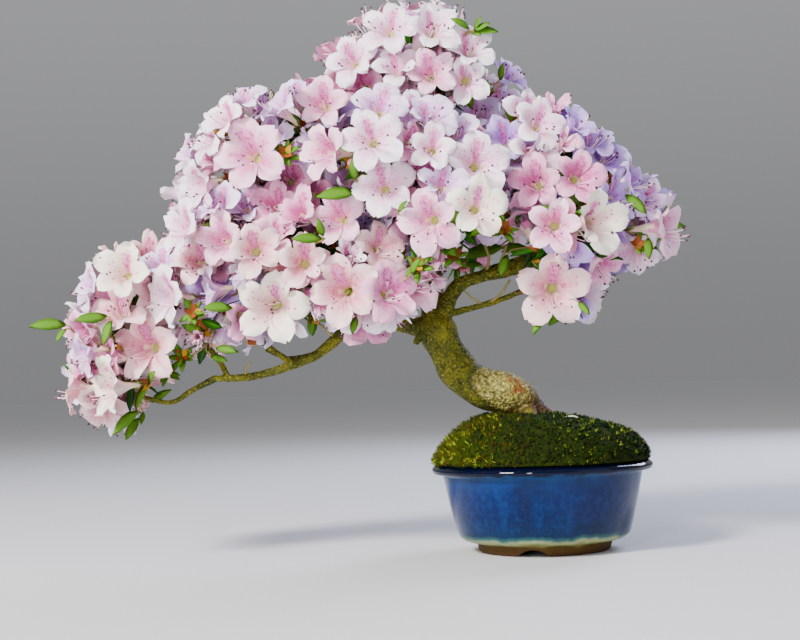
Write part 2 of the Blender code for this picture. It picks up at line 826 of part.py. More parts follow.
def centre_on_bounds(objects):
    """Hangs everything on an empty that brings the middle of the bounds over the origin."""
    bpy.context.view_layer.update()
    corners = [obj.matrix_world @ Vector(corner) for obj in objects for corner in obj.bound_box]
    stand = bpy.data.objects.new("plant", None)
    bpy.context.scene.collection.objects.link(stand)
    for axis in (0, 1):
        values = [corner[axis] for corner in corners]
        stand.location[axis] = -(min(values) + max(values)) / 2
    for obj in objects:
        obj.parent = stand


def main():
    clear_scene()
    solids = [build_pot(), build_soil(), build_moss()]
    limbs = build_limbs()
    solids += limbs.values()
    tree = surface_tree(limbs.values(), SHOOT_CLEARANCE)
    solids += [build_mass(name, limbs, tree) for name in MASSES]
    centre_on_bounds(solids)
    for obj in solids:
        obj.data.shade_smooth()
        obj.data.set_sharp_from_angle(angle=math.radians(35))


if __name__ == "__main__":
    main()
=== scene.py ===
"""Looks of the flowering azalea bonsai: blossoms, leaves, twigs, bark, moss and glaze.

Lengths are in millimetres from the pot's axis at the ground, with -Y towards the front, as in the
part's own tables of limbs and masses. Places seen in the photograph are pixels of its 800 x 640 frame:
each is brought to the face of the mass that it lies on, and grows on a twig from that mass's heart.
All round the rest of the crown the same growing rule sets blossoms and leaves at even distances.
"""

import math
import random
from dataclasses import dataclass, field
from functools import lru_cache

import bpy
import numpy as np
from mathutils import Matrix, Vector, noise
from mathutils.bvhtree import BVHTree


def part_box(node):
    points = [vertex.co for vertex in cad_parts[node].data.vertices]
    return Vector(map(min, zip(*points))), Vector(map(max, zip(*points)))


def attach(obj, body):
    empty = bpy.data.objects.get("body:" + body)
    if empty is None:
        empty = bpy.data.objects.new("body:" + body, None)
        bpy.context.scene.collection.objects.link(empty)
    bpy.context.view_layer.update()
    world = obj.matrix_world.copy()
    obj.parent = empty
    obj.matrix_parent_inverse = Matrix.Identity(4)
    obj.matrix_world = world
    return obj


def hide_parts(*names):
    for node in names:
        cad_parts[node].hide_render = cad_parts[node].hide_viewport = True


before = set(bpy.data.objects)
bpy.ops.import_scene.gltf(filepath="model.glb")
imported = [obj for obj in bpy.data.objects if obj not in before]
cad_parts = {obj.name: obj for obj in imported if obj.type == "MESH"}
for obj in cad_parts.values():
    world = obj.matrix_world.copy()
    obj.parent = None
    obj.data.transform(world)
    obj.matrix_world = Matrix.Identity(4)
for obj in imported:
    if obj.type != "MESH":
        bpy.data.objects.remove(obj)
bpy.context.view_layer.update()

MM = 0.001
POT_LOW, POT_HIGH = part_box("pot")
AXIS = Vector(((POT_LOW.x + POT_HIGH.x) / 2, (POT_LOW.y + POT_HIGH.y) / 2, 0))

# Camera, in the photograph's frame: pixels, millimetres and degrees
PHOTO_WIDTH = 800
PHOTO_HEIGHT = 640
FOCAL_PIXELS = 1440.0
SENSOR = 36.0
CAMERA_AT = np.array((-89.76, -950.0, 110.0))
CAMERA_PITCH = 2.622
CAMERA_ROLL = 2.0

# Floor's reach, its drop under the pot's foot, and its linear colour, roughness and gloss
FLOOR_RADIUS = 30000
FLOOR_DROP = 0.2
FLOOR_LOOK = ((0.6, 0.6, 0.61), 0.8, 0.2)
# What the lights face
AIM = (-90, 0, 190)
# Soft boxes: place, width and height in metres, power in watts and colour
LIGHTS = {
    "key": ((-1250, -1250, 1250), 0.45, 0.45, 96, (1.0, 0.97, 0.94)),
    "strip": ((-420, -1300, 420), 0.12, 0.7, 9, (1.0, 1.0, 1.0)),
    "fill": ((1300, -1100, 700), 1.2, 1.2, 4, (0.7, 0.78, 1.0)),
    "rim": ((900, 1100, 1000), 0.8, 0.8, 34, (0.7, 0.76, 1.0)),
}
# Surround: its colour, strength, share of it at the horizon, and the height where the whole of it is reached
SURROUND = (0.92, 0.93, 0.95)
SURROUND_STRENGTH = 0.42
SURROUND_LOW = 0.6
SURROUND_FULL_AT = 0.35

# Trunk: x, y, z, radius
TRUNK = (
    (3, 0, 78, 8.0),
    (-8, 0, 92.5, 11.0),
    (-21, 0, 101.5, 13.4),
    (-36, 0, 106.7, 12.9),
    (-50, 0, 116, 12.2),
    (-59, 0, 131, 11.7),
    (-65, 0, 145, 11.8),
    (-67.3, 1, 160, 8.4),
    (-68, 3, 180, 6.9),
    (-69.5, 4, 208, 5.8),
    (-71, 2, 240, 4.8),
    (-73, 0, 290, 2.8),
)
# Height where the bark starts, under the moss
BARK_FROM = 80.0
# Root flare: direction in degrees, reach and mean radius of each root, and the place where they meet
FLARES = ((-5, 21, 5.0), (-75, 18, 5.5), (80, 19, 5.5), (180, 21, 5.0))
FLARE_HEART = (-11, 0, 95)

# Boughs: start and end radius, then the points that each passes through
BOUGHS = {
    "left_bough": (6.8, 2.1, (-66, 0, 146), (-88, 0, 150.5), (-104, 2, 155.5), (-120, 0, 153),
                   (-137, 0, 138.5), (-153, 0, 129), (-186, 0, 120), (-214, 0, 119)),
    "left_tip_bough": (2.2, 1.4, (-212, 0, 119.5), (-228, 0, 112), (-242, 0, 104.5), (-259, -2, 108)),
    "left_low_bough": (2.2, 1.6, (-203, 0, 117), (-211, 3, 132), (-224, 3, 147), (-239, 0, 160)),
    "left_under_bough": (2.3, 1.7, (-160, 0, 126), (-172, -3, 135), (-187, -6, 147)),
    "left_front_bough": (2.6, 2.0, (-124, 0, 150), (-131, -6, 160), (-139, -14, 173)),
    "low_centre_bough": (2.6, 2.0, (-89, 0, 150), (-95, -10, 157), (-100, -20, 163)),
    "left_mid_bough": (4.6, 2.2, (-67.5, 2, 168), (-86, 11, 178), (-118, 17, 190), (-150, 14, 202),
                       (-174, 5, 211)),
    "upper_left_bough": (4.2, 2.3, (-69, 3, 202), (-90, 2, 218), (-115, -2, 235), (-137, -8, 252)),
    "upper_front_bough": (3.2, 2.2, (-70, 3, 222), (-76, -12, 233), (-84, -26, 244)),
    "centre_front_bough": (3.4, 2.2, (-68, 3, 180), (-64, -12, 193), (-60, -26, 206)),
    "upper_right_bough": (4.0, 2.3, (-69.5, 4, 212), (-50, 0, 227), (-32, -4, 240), (-17, -7, 250)),
    "right_bough": (6.2, 3.2, (-64, -2, 150), (-56.5, -4, 167), (-48, -6, 176), (-34, -8, 180),
                    (-18, -10, 182), (-5, -18, 186)),
    "right_tip_bough": (3.4, 2.1, (-40, -7, 178), (-28, 5, 185), (-4, 15, 193), (25, 12, 204),
                        (42, 6, 210)),
    "right_low_bough": (2.4, 1.8, (-66, 0, 154), (-50, -1, 158), (-36, -3, 161), (-21, -6, 165),
                        (-10, -12, 169)),
    "back_low_bough": (3.2, 2.2, (-68, 3, 184), (-67, 19, 196), (-66.5, 38, 206)),
    "back_left_bough": (3.8, 2.3, (-69, 4, 195), (-88, 19, 208), (-113, 34, 220), (-132, 43, 228)),
    "back_right_bough": (3.8, 2.3, (-69, 4, 199), (-50, 19, 212), (-28, 35, 222), (-11, 45, 228)),
    "back_top_bough": (3.0, 2.2, (-71, 2, 243), (-70, 17, 258), (-68, 33, 271)),
}
# Bare twigs and snags that show on the limbs: start, bend, end, start and end radius
BARE_TWIGS = (
    ((-133, -1, 143), (-140, -3, 150), (-149, -5, 158), 1.1, 0.7),
    ((-121, -1, 153), (-126, -3, 158), (-133, -6, 161), 1.0, 0.7),
    ((-110, 0, 156), (-114, -2, 161), (-119, -5, 165), 0.9, 0.7),
    ((-146, 0, 133), (-165, 4, 131), (-180, 8, 137), 1.8, 1.0),
    ((-101, 1, 152), (-100, 0, 147), (-98, -1, 143), 1.1, 0.6),
    ((-193, 0, 120), (-192, -2, 125), (-189, -3, 129), 1.0, 0.6),
    ((-34, -3, 161), (-24, -8, 167), (-17, -9, 177), 1.0, 0.7),
    ((-34, -3, 161), (-42, -5, 166), (-47, -6, 171), 0.9, 0.6),
    ((-24, -9, 181), (-22, -10, 190), (-18, -12, 200), 1.2, 0.8),
    ((-33, -8, 181), (-30, -9, 191), (-33, -11, 202), 1.2, 0.8),
    ((-72, -4, 146), (-78, -6, 141), (-80, -7, 137), 3.0, 2.0),
    ((-60, -3, 168), (-59, -6, 163), (-56, -8, 160), 1.6, 1.0),
)
# Voxel of the bark's skin, and the radius under which a bare twig stays apart from it
BARK_VOXEL = 0.84
THIN_TWIG = 1.5
# The pale lump at the trunk's foot: its centre, half sizes and tilt in degrees, where its skin spreads, and
# the centre of the dark foot
LUMP_CENTRE = (-20.5, -2.5, 104.0)
LUMP_HALF = (21.5, 14.5, 12.2)
LUMP_TILT = 24.0
LUMP_SKIN_AT = (-24.0, -3.0, 105.0)
LUMP_SKIN_HALF = (26.5, 17.0, 13.5)
LUMP_FOOT = (2, -4, 90)

# Masses: centre, half sizes, and the limb whose tip the stem meets
MASSES = {
    "apex_blossom": ((-74, 0, 321), (62, 55, 41), "trunk"),
    "upper_left_blossom": ((-166, -15, 271), (58, 50, 38), "upper_left_bough"),
    "upper_front_blossom": ((-95, -48, 259), (55, 47, 39), "upper_front_bough"),
    "upper_right_blossom": ((6, -10, 259), (54, 50, 38), "upper_right_bough"),
    "right_tip_blossom": ((66, 0, 218), (37, 46, 36), "right_tip_bough"),
    "right_front_blossom": ((18, -42, 205), (42, 44, 35), "right_bough"),
    "right_low_blossom": ((12, -26, 172), (33, 35, 27), "right_low_bough"),
    "centre_front_blossom": ((-56, -50, 221), (47, 46, 33), "centre_front_bough"),
    "left_mid_blossom": ((-205, -12, 219), (46, 50, 37), "left_mid_bough"),
    "left_front_blossom": ((-151, -27, 194), (51, 50, 42), "left_front_bough"),
    "left_under_blossom": ((-204, -12, 163), (37, 38, 31), "left_under_bough"),
    "left_low_blossom": ((-253, 0, 178), (42, 43, 36), "left_low_bough"),
    "left_tip_blossom": ((-284, 0, 134), (37, 40, 43), "left_tip_bough"),
    "low_centre_blossom": ((-104, -38, 176), (38, 36, 31), "low_centre_bough"),
    "back_top_blossom": ((-64, 60, 290), (60, 48, 38), "back_top_bough"),
    "back_left_blossom": ((-164, 58, 236), (55, 48, 40), "back_left_bough"),
    "back_right_blossom": ((18, 58, 234), (55, 48, 40), "back_right_bough"),
    "back_low_blossom": ((-66, 72, 217), (50, 40, 36), "back_low_bough"),
}

# Twigs' ends set by rule: square millimetres of surface for each, square of the depth under which a place
# is inside another mass, and least distance from an end of the photograph
AREA_PER_END = 390.0
INSIDE_OTHER = 0.85
CLEAR_OF_SEEN = 8.0
# One that shows this near to an end of the photograph, in pixels, goes back so far behind it, up to a limit
BEHIND_PIXELS = 34
BEHIND_SEEN = 12.0
MOST_BACK = 30.0
# One outside the crown's outline is drawn in towards the mass's centre, in steps of such a share
OUTLINE_STEPS = 7
OUTLINE_STEP = 0.08
# Shares of leafy shoots, by rule and on the underside, where a direction's height is under such a value, and
# share of buds, and how far each of the two stays under the surface
LEAFY_SHARE = 0.09
UNDERSIDE_LEAFY_SHARE = 0.3
UNDERSIDE = -0.45
LEAFY_INSET = 9
BUD_SHARE = 0.05
BUD_INSET = 12
# A blossom that crosses others in more faces than this is drawn in, so often and so far each time
MOST_CROSSED = 2
DRAWN_IN = 4
DRAW_STEP = 5
# A leaf of the photograph that would cross a blossom comes forward, so often and so far each time
LEAF_STEPS = 5
LEAF_STEP = 3
# Radii of twigs: at the tip, at most, and from where they get more sides. Share of its distance from the
# heart that a fork keeps, and the power by which the radii of two twigs add up
TWIG_TIP_RADIUS = 0.55
TWIG_MOST_RADIUS = 2.0
THICK_TWIG = 0.9
FORK_SHARE = 0.66
FORK_POWER = 2.3

# The crown's outline in the photograph, in pixels, that ends set by rule keep within
CROWN_OUTLINE = (
    (62, 408), (62, 375), (74, 345), (74, 318), (78, 293), (86, 266), (110, 246), (150, 243),
    (163, 232), (178, 205), (170, 165), (180, 142), (205, 125), (222, 106), (238, 85), (262, 88),
    (280, 75), (302, 60), (320, 38), (345, 25), (362, 18), (380, -6), (440, -6), (456, 12),
    (470, 30), (488, 60), (506, 80), (552, 90), (572, 112), (603, 130), (628, 152), (642, 186),
    (672, 206), (676, 240), (658, 262), (640, 262), (612, 282), (598, 296), (578, 304), (548, 302),
    (526, 296), (508, 262), (462, 284), (428, 275), (426, 322), (390, 338), (345, 332), (312, 345),
    (240, 348), (204, 362), (172, 396), (150, 430), (120, 442), (95, 434),
)
# Places, in pixels with a radius, where the photograph shows the dark behind the plant
OPEN_PLACES = (
    (488, 318, 27),
    (500, 342, 30),
    (505, 300, 14),
    (600, 325, 26),
    (575, 345, 24),
    (255, 356, 16),
    (300, 346, 10),
    (185, 372, 14),
    (160, 386, 18),
    (497, 258, 20),
    (455, 256, 14),
    (514, 284, 17),
    (515, 312, 18),
    (690, 275, 20),
    (20, 350, 30),
)
# Blossoms seen in the photograph: pixel x and y of the face, the way it faces in degrees (to the right,
# up), how far it sits behind the mass's front in millimetres, size and tint. Its lavender and misty tints
# are painted cool shade.
SEEN_BLOOMS = (
    (388, 27, -12, 20, 2, 0.85, "white"),
    (433, 28, 8, 18, 0, 0.88, "white"),
    (351, 60, -18, 12, 2, 0.88, "white"),
    (398, 66, 0, 32, 6, 0.85, "white"),
    (432, 73, 4, 12, 4, 0.83, "blush"),
    (470, 48, 12, 25, 4, 0.85, "white"),
    (466, 80, 0, -5, 0, 0.85, "white"),
    (498, 97, 22, 28, 4, 0.85, "mist"),
    (528, 112, 15, 10, 4, 0.81, "white"),
    (478, 112, 8, 35, 8, 0.85, "mist"),
    (430, 116, 0, 35, 8, 0.85, "mist"),
    (378, 106, -5, 25, 8, 0.85, "mist"),
    (362, 86, -20, 0, 12, 0.72, "pink"),
    (372, 138, -5, 12, 0, 0.92, "white"),
    (412, 142, 40, 0, 12, 0.63, "pink"),
    (432, 148, 0, 8, 4, 0.77, "white"),
    (478, 163, 10, 8, 0, 0.95, "white"),
    (510, 137, 18, 35, 8, 0.85, "lavender"),
    (322, 104, -15, 8, 2, 0.85, "blush"),
    (250, 153, -15, 8, 0, 1.12, "blush"),
    (325, 152, -45, 0, 0, 0.95, "blush"),
    (224, 118, -40, 25, 4, 0.81, "white"),
    (243, 97, -30, 50, 8, 0.72, "mist"),
    (206, 138, -55, 20, 4, 0.77, "white"),
    (275, 105, -60, 35, 6, 0.85, "mist"),
    (296, 95, -20, 45, 8, 0.81, "mist"),
    (188, 155, -65, 15, 6, 0.77, "mist"),
    (207, 163, -65, 0, 2, 0.81, "blush"),
    (200, 186, -45, -15, 4, 0.81, "white"),
    (287, 178, -10, 10, 12, 0.81, "pink"),
    (310, 193, -20, 5, 10, 0.77, "pink"),
    (182, 228, -50, 10, 2, 0.9, "white"),
    (222, 240, -28, 5, 0, 0.9, "blush"),
    (256, 250, 5, 5, 2, 0.88, "rose"),
    (274, 234, 0, 30, 10, 0.81, "blush"),
    (298, 214, -40, 15, 8, 0.85, "pink"),
    (276, 205, -15, 20, 10, 0.81, "pink"),
    (246, 206, -20, 25, 10, 0.81, "mist"),
    (216, 203, -35, 30, 8, 0.81, "mist"),
    (338, 218, -20, 5, 2, 0.9, "blush"),
    (305, 262, 5, 5, 8, 0.9, "rose"),
    (345, 291, -6, 0, 0, 1.1, "rose"),
    (272, 307, -6, -4, 0, 1.25, "cream"),
    (392, 292, 30, 10, 2, 0.9, "pink"),
    (383, 247, 35, 10, 8, 0.81, "rose"),
    (384, 187, -5, 5, 0, 0.9, "white"),
    (430, 222, -15, -8, 0, 0.95, "blush"),
    (478, 207, 8, 5, 0, 0.9, "cream"),
    (420, 170, 30, 10, 8, 0.81, "pink"),
    (441, 184, 0, 20, 10, 0.81, "mist"),
    (454, 130, 5, 35, 10, 0.81, "mist"),
    (415, 108, 0, 35, 12, 0.77, "mist"),
    (537, 183, -12, 5, 2, 0.92, "pink"),
    (578, 176, 5, 8, 4, 0.9, "pink"),
    (592, 222, 22, 0, 2, 1.1, "cream"),
    (554, 225, -8, 0, 0, 0.9, "blush"),
    (553, 290, -3, -5, 0, 1.1, "rose"),
    (603, 268, 40, -40, 12, 0.77, "pink"),
    (668, 226, 66, 4, -8, 1.08, "blush"),
    (635, 180, 65, 10, 2, 0.85, "lavender"),
    (606, 155, 30, 25, 4, 0.85, "lavender"),
    (592, 138, 20, 45, 8, 0.77, "lavender"),
    (574, 123, 35, 40, 8, 0.81, "lavender"),
    (562, 142, 10, 30, 6, 0.77, "blush"),
    (540, 122, 15, 18, 2, 0.85, "white"),
    (533, 148, 5, 20, 6, 0.85, "white"),
    (617, 198, 50, 5, 6, 0.81, "lavender"),
    (508, 74, 40, 35, 10, 0.77, "lavender"),
    (122, 273, -10, 10, 0, 0.9, "cream"),
    (88, 288, -60, 10, 4, 0.85, "mist"),
    (165, 297, -50, 0, 0, 0.95, "white"),
    (199, 262, -15, 10, 8, 0.81, "rose"),
    (158, 262, -20, 40, 8, 0.72, "mist"),
    (211, 291, -75, -10, 8, 0.77, "mist"),
    (146, 349, -18, -2, 0, 1.1, "rose"),
    (109, 388, -52, -4, 0, 0.95, "cream"),
    (71, 389, -78, 0, 4, 0.85, "rose"),
    (82, 333, -40, -20, 4, 0.85, "pink"),
    (84, 354, -55, -10, 8, 0.77, "mist"),
    (101, 414, -15, -55, 8, 0.72, "rose"),
    (108, 356, -60, 10, 8, 0.77, "pink"),
    (198, 337, -5, -10, 2, 0.55, "pink"),
)
# Leaves seen in the photograph: pixels of the root and the tip, and whether it is young; the two from
# 502, 247 take the young green as painted light.
SEEN_LEAVES = (
    (107, 316, 75, 320, False),
    (111, 321, 102, 342, False),
    (66, 325, 32, 322, False),
    (66, 329, 56, 338, False),
    (138, 411, 113, 430, True),
    (138, 418, 126, 440, True),
    (143, 412, 141, 424, True),
    (152, 402, 167, 389, False),
    (211, 356, 227, 361, False),
    (216, 348, 236, 350, False),
    (355, 192, 317, 196, False),
    (355, 180, 352, 160, False),
    (322, 238, 292, 240, False),
    (323, 236, 318, 220, False),
    (232, 308, 204, 306, False),
    (356, 317, 352, 333, True),
    # These two take the young green as painted light, lifting them out of the crown's shade
    (502, 247, 463, 252, True),
    (502, 247, 532, 252, True),
    (466, 264, 482, 265, True),
    (507, 255, 501, 277, False),
    (457, 256, 445, 243, True),
    (411, 274, 417, 259, True),
    (422, 261, 435, 259, False),
    (398, 212, 407, 201, True),
    (544, 312, 533, 332, True),
    (628, 188, 632, 173, False),
    (626, 195, 646, 212, False),
    (648, 238, 649, 258, False),
    (579, 302, 589, 314, False),
    (469, 29, 455, 17, False),
    (474, 30, 483, 17, False),
    (474, 30, 491, 24, False),
    (475, 31, 496, 29, True),
    (473, 32, 481, 36, True),
    (500, 80, 504, 63, False),
)
# Sprigs of small ochre leaves seen between the blossoms, in pixels
SEEN_SPRIGS = ((183, 358), (168, 374), (194, 314), (286, 156), (503, 231), (454, 257), (417, 268),
               (605, 180), (637, 246))

# Blossom: number of petals, and their rows from base to tip, as distance from the axis, height and half
# angle in degrees
PETALS = 5
PETAL_ROWS = (
    (1.3, 0.0, 38.0),
    (1.9, 6.0, 38.0),
    (3.0, 12.0, 38.5),
    (5.0, 16.8, 40.0),
    (7.8, 20.2, 41.5),
    (10.9, 22.7, 40.5),
    (14.0, 24.4, 36.0),
    (17.0, 25.3, 29.5),
    (19.8, 25.3, 20.5),
    (21.9, 24.8, 7.5),
)
PETAL_COLUMNS = 8
THROAT_ROW = 3
# By row of faces: steps of tint, deepest in the throat, where the deeper tint also holds painted shade, half
# widths of the deeper wedge on the upper petal and of the mark in it
PETAL_STEPS = (5, 5, 5, 4, 3, 2, 1, 0, 0)
WEDGE_HALF = (0, 0, 0.7, 0.7, 0.6, 0.5, 0.3, 0, 0)
MARK_HALF = (0, 0, 0.45, 0.45, 0.3, 0.2, 0, 0, 0)
# Height of the face over the base, and place and size of the green heart in the throat
BLOOM_FACE = 23.5
HEART_HEIGHT = 9.4
HEART_RADIUS = 2.45
# Bends tried in turn where a petal would cross another blossom, in radians
BENDS = (0.0, 0.22, -0.2, 0.45, -0.4, 0.75, 1.05)
STAMENS = 6
# Freckles on the upper petal and on the two beside it
FRECKLES = {0: 20, 1: 7, 4: 7}
# Sepal's points: distance from the axis, to the side, and height
SEPAL = ((0.9, -0.8, -0.6), (0.9, 0.8, -0.6), (2.9, 0.9, 2.2), (3.4, 0, 4.6), (2.9, -0.9, 2.2), (2.0, 0, 2.0))
SEPAL_FACES = ((0, 1, 2), (0, 2, 4), (4, 2, 3), (5, 1, 0), (5, 2, 1), (5, 3, 2), (5, 4, 3), (5, 0, 4))
# Length of the stalk behind a blossom
PEDICEL = 7.0

# Leaf, in its full size
LEAF_LENGTH = 24.0
LEAF_WIDTH = 9.6
LEAF_ROWS = 4

# Pot: radii, widths and heights of its rim, foot ring and base, and thickness of its wall
RIM_RADIUS = 72.2
POT_HEIGHT = 57.8
FOOT_RADIUS = 42.5
FOOT_WIDTH = 6.0
FOOT_HEIGHT = 6.0
BASE_RADIUS = 56.0
BASE_HEIGHT = 11.5
WALL = 6.0
POT_STEPS = 240
# Inside floor, and the groove under the rim as distance inside the rim's edge and height
INSIDE_FLOOR = 14.0
GROOVE_INSET = 6.8
GROOVE_HEIGHT = 50.5
# Arches cut in the foot: radius, how far their centres lie under the ground, count and first azimuth
ARCH_RADIUS = 14.5
ARCH_DEPTH = 10.5
ARCH_COUNT = 3
ARCH_AZIMUTH = 254.0

# Moss: height where the trunk leaves it, edge, rise, slopes and roundness of the mound
GROUND = 88.6
MOSS_RADIUS = 70.5
MOSS_RISE = 31.5
MOSS_SLOPE_LEFT = -0.13
MOSS_SLOPE_RIGHT = -0.2
MOSS_FALL = 0.72
MOSS_FULLNESS = 2.8
MOSS_SHOULDER = 5.0
# Tufts, the share of them that hang down the edge, and the leaves of each with their radius
MOSS_TUFTS = 4200
MOSS_BANK_SHARE = 0.24
MOSS_LEAVES = 9
MOSS_LEAF_RADIUS = 0.36
# A pale root that arches out of the moss: x, y and height over the moss
BARE_ROOT = ((12, -22, -1.0), (16, -23, 2.4), (20, -23.5, 1.4), (24, -24, -1.7))

# Plain colours, as sRGB values from 0 to 255: each tint's palest and deepest. The lavender and misty
# tints are painted cool shade, for blossoms to the right, behind and deep in the crown, and the
# lavender one is darker as painted shade too.
TINTS = {
    "cream": ((249, 243, 226), (238, 198, 198)),
    "white": ((250, 236, 246), (236, 178, 212)),
    "blush": ((245, 200, 220), (220, 126, 176)),
    "pink": ((236, 172, 204), (202, 92, 156)),
    "mist": ((232, 214, 242), (206, 140, 206)),
    "lavender": ((198, 174, 234), (166, 106, 204)),
    "rose": ((244, 208, 210), (218, 134, 154)),
}
# Steps from a tint's palest to its deepest
SHADES = 6
# Plain looks: colour, roughness and gloss
LOOKS = {
    "throat": ((234, 208, 184), 0.5, 0.35),
    "heart": ((176, 184, 84), 0.5, 0.35),
    "blotch": ((224, 132, 188), 0.5, 0.35),
    "freckle": ((182, 60, 138), 0.5, 0.35),
    "filament": ((252, 228, 236), 0.5, 0.35),
    "pistil": ((240, 190, 208), 0.5, 0.35),
    "anther": ((92, 50, 76), 0.6, 0.35),
    "sepal": ((122, 140, 48), 0.6, 0.25),
    "bud_scale": ((138, 70, 28), 0.7, 0.25),
    "bud": ((226, 124, 160), 0.5, 0.35),
    "leaf": ((34, 104, 0), 0.55, 0.14),
    "leaf_rib": ((84, 144, 14), 0.55, 0.14),
    "leaf_back": ((84, 130, 30), 0.6, 0.14),
    "leaf_dark": ((20, 60, 5), 0.55, 0.14),
    "leaf_young": ((98, 146, 4), 0.55, 0.14),
    "leaf_ochre": ((186, 136, 14), 0.55, 0.14),
    "twig": ((112, 84, 44), 0.75, 0.25),
    "twig_young": ((148, 134, 76), 0.7, 0.25),
    # The moss colours are kept dark as painted shade that stands in for the crown's shadow
    "moss_gold": ((62, 54, 1), 0.8, 0.1),
    "moss_lime": ((46, 64, 1), 0.8, 0.1),
    "moss_green": ((18, 46, 1), 0.85, 0.1),
    "moss_deep": ((5, 18, 1), 0.9, 0.1),
    "moss_brown": ((34, 26, 3), 0.9, 0.1),
    "moss_tip": ((128, 138, 34), 0.8, 0.1),
    "root": ((206, 200, 176), 0.7, 0.25),
}
# Look of a leaf's rib
LEAF_RIBS = {"leaf": "leaf_rib", "leaf_dark": "leaf", "leaf_young": "leaf_rib", "leaf_ochre": "leaf_young"}


def place(point):
    """A point of the tables, in millimetres, in the frame's metres."""
    return AXIS + Vector(point) * MM


# Directions
def unit(vector):
    """The same direction with a length of one."""
    return vector / np.linalg.norm(vector)


def unit_rows(vectors):
    """The same directions, row by row, each with a length of one."""
    return vectors / np.linalg.norm(vectors, axis=1)[:, None]


def spoke(angle, rise=0.0):
    """Directions away from the axis at an angle, and across it."""
    x, y = math.cos(angle), math.sin(angle)
    return np.array((x, y, rise)), np.array((-y, x, 0))


def any_way(rng, reach=1):
    """A random step, within the reach along each axis."""
    return np.array([rng.uniform(-reach, reach) for _ in range(3)])


def turn_to(facing, up):
    """Rotation whose third column is the facing and whose first is nearest to up."""
    facing = unit(np.asarray(facing, float))
    first = np.asarray(up, float) - facing * (facing @ np.asarray(up, float))
    if np.linalg.norm(first) < 1e-3:
        first = np.cross(facing, (0, 1, 0))
    first = unit(first)
    return np.column_stack((first, np.cross(facing, first), facing))


# Shapes
class Pile:
    """Points, faces and looks of many small shapes, gathered for one joined mesh."""

    def __init__(self):
        self.points = []
        self.faces = []
        self.looks = []
        self.start = 0
        self.count = 0

    def add(self, points, faces, looks):
        """Adds points (n, 3) in millimetres, faces (m, 4) or (m, 3), and one look or one for each face."""
        self.points.append(np.asarray(points, float).reshape(-1, 3))
        self.start = self.count
        self.count += len(self.points[-1])
        self.add_faces(faces, looks)

    def add_faces(self, faces, looks):
        """Adds faces between the points that came last."""
        faces = np.asarray(faces, np.int32) + self.start
        if faces.shape[1] == 3:
            faces = np.column_stack((faces, np.full(len(faces), -1, np.int32)))
        self.faces.append(faces)
        self.looks.append(np.full(len(faces), looks) if isinstance(looks, int) else looks)

    def build(self, name):
        """The joined mesh, with one plain material for each look in it."""
        points = np.concatenate(self.points) * MM + np.array(AXIS)
        faces = np.concatenate(self.faces)
        used, looks = np.unique(np.concatenate(self.looks), return_inverse=True)
        corners = np.where(faces[:, 3] < 0, 3, 4)
        mesh = bpy.data.meshes.new(name)
        mesh.vertices.add(len(points))
        mesh.vertices.foreach_set("co", points.astype(np.float32).ravel())
        loops = faces.ravel()[faces.ravel() >= 0]
        mesh.loops.add(len(loops))
        mesh.loops.foreach_set("vertex_index", loops)
        mesh.polygons.add(len(faces))
        mesh.polygons.foreach_set("loop_start", np.concatenate(([0], np.cumsum(corners)[:-1])))
        mesh.polygons.foreach_set("material_index", looks.reshape(-1))
        mesh.update(calc_edges=True)
        for index in used:
            mesh.materials.append(plain_look(LOOK_NAMES[index]))
        mesh.shade_smooth()
        obj = bpy.data.objects.new(name, mesh)
        bpy.context.scene.collection.objects.link(obj)
        return obj


def settle(piece, slot, *replaced):
    """Fixes a piece to the plant and hides the nodes that it stands for. Its slot is not used."""
    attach(piece, "root")
    if replaced:
        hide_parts(*replaced)


def paint(obj, material):
    """Gives an object one material."""
    obj.data.materials.clear()
    obj.data.materials.append(material)


def apply_modifiers(obj):
    """Makes what an object's modifiers show its own mesh."""
    graph = bpy.context.evaluated_depsgraph_get()
    mesh = bpy.data.meshes.new_from_object(obj.evaluated_get(graph))
    obj.modifiers.clear()
    obj.data = mesh


def turns(count):
    """Angles spread evenly over a full turn."""
    return 2 * np.pi * np.arange(count) / count


def flat_ring(radius, height, count):
    """Points of a level ring about the axis."""
    angles = turns(count)
    return np.column_stack((radius * np.cos(angles), radius * np.sin(angles), np.full(count, float(height))))


def numbered(rows, columns, first=0):
    """Numbers of the points of a grid."""
    return first + np.arange(rows * columns).reshape(rows, columns)


def grid_faces(grid):
    """Four-sided faces between the numbered points of a grid."""
    return np.stack((grid[:-1, :-1], grid[1:, :-1], grid[1:, 1:], grid[:-1, 1:]), -1).reshape(-1, 4)


def band_faces(rings, count):
    """Four-sided faces from each closed ring of points to the next."""
    step = np.arange(count)
    after = (step + 1) % count
    return np.concatenate([np.column_stack((low + step, low + after, low + count + after, low + count + step))
                           for low in count * np.arange(rings - 1)])


def fan_faces(centre, start, count):
    """Triangles from a centre point to a closed ring of points."""
    step = np.arange(count)
    return np.column_stack((np.full(count, centre), start + step, start + (step + 1) % count))


@lru_cache
def tube_faces(rings, sides):
    """Triangles of a closed tube, whose two middle points come after its rings."""
    quads = band_faces(rings, sides).reshape(-1, sides, 4)
    wall = np.concatenate((quads[..., [0, 1, 2]], quads[..., [0, 2, 3]]), 1).reshape(-1, 3)
    first = fan_faces(rings * sides, 0, sides)[:, [0, 2, 1]]
    last = fan_faces(rings * sides + 1, (rings - 1) * sides, sides)
    return np.concatenate((wall, first, last))


def tube(path, radii, sides):
    """Points and triangles of a closed tube along a path, its ends capped by fans."""
    path = np.asarray(path, float)
    along = unit_rows(np.gradient(path, axis=0))
    side = np.cross(along[0], (0.31, 0.87, 0.39))
    angles = turns(sides)
    rings = []
    for centre, direction, radius in zip(path, along, radii):
        side = unit(side - direction * (side @ direction))
        across = np.cross(direction, side)
        rings.append(centre + radius * (np.cos(angles)[:, None] * side + np.sin(angles)[:, None] * across))
    return np.concatenate([*rings, path[:1], path[-1:]]), tube_faces(len(path), sides)


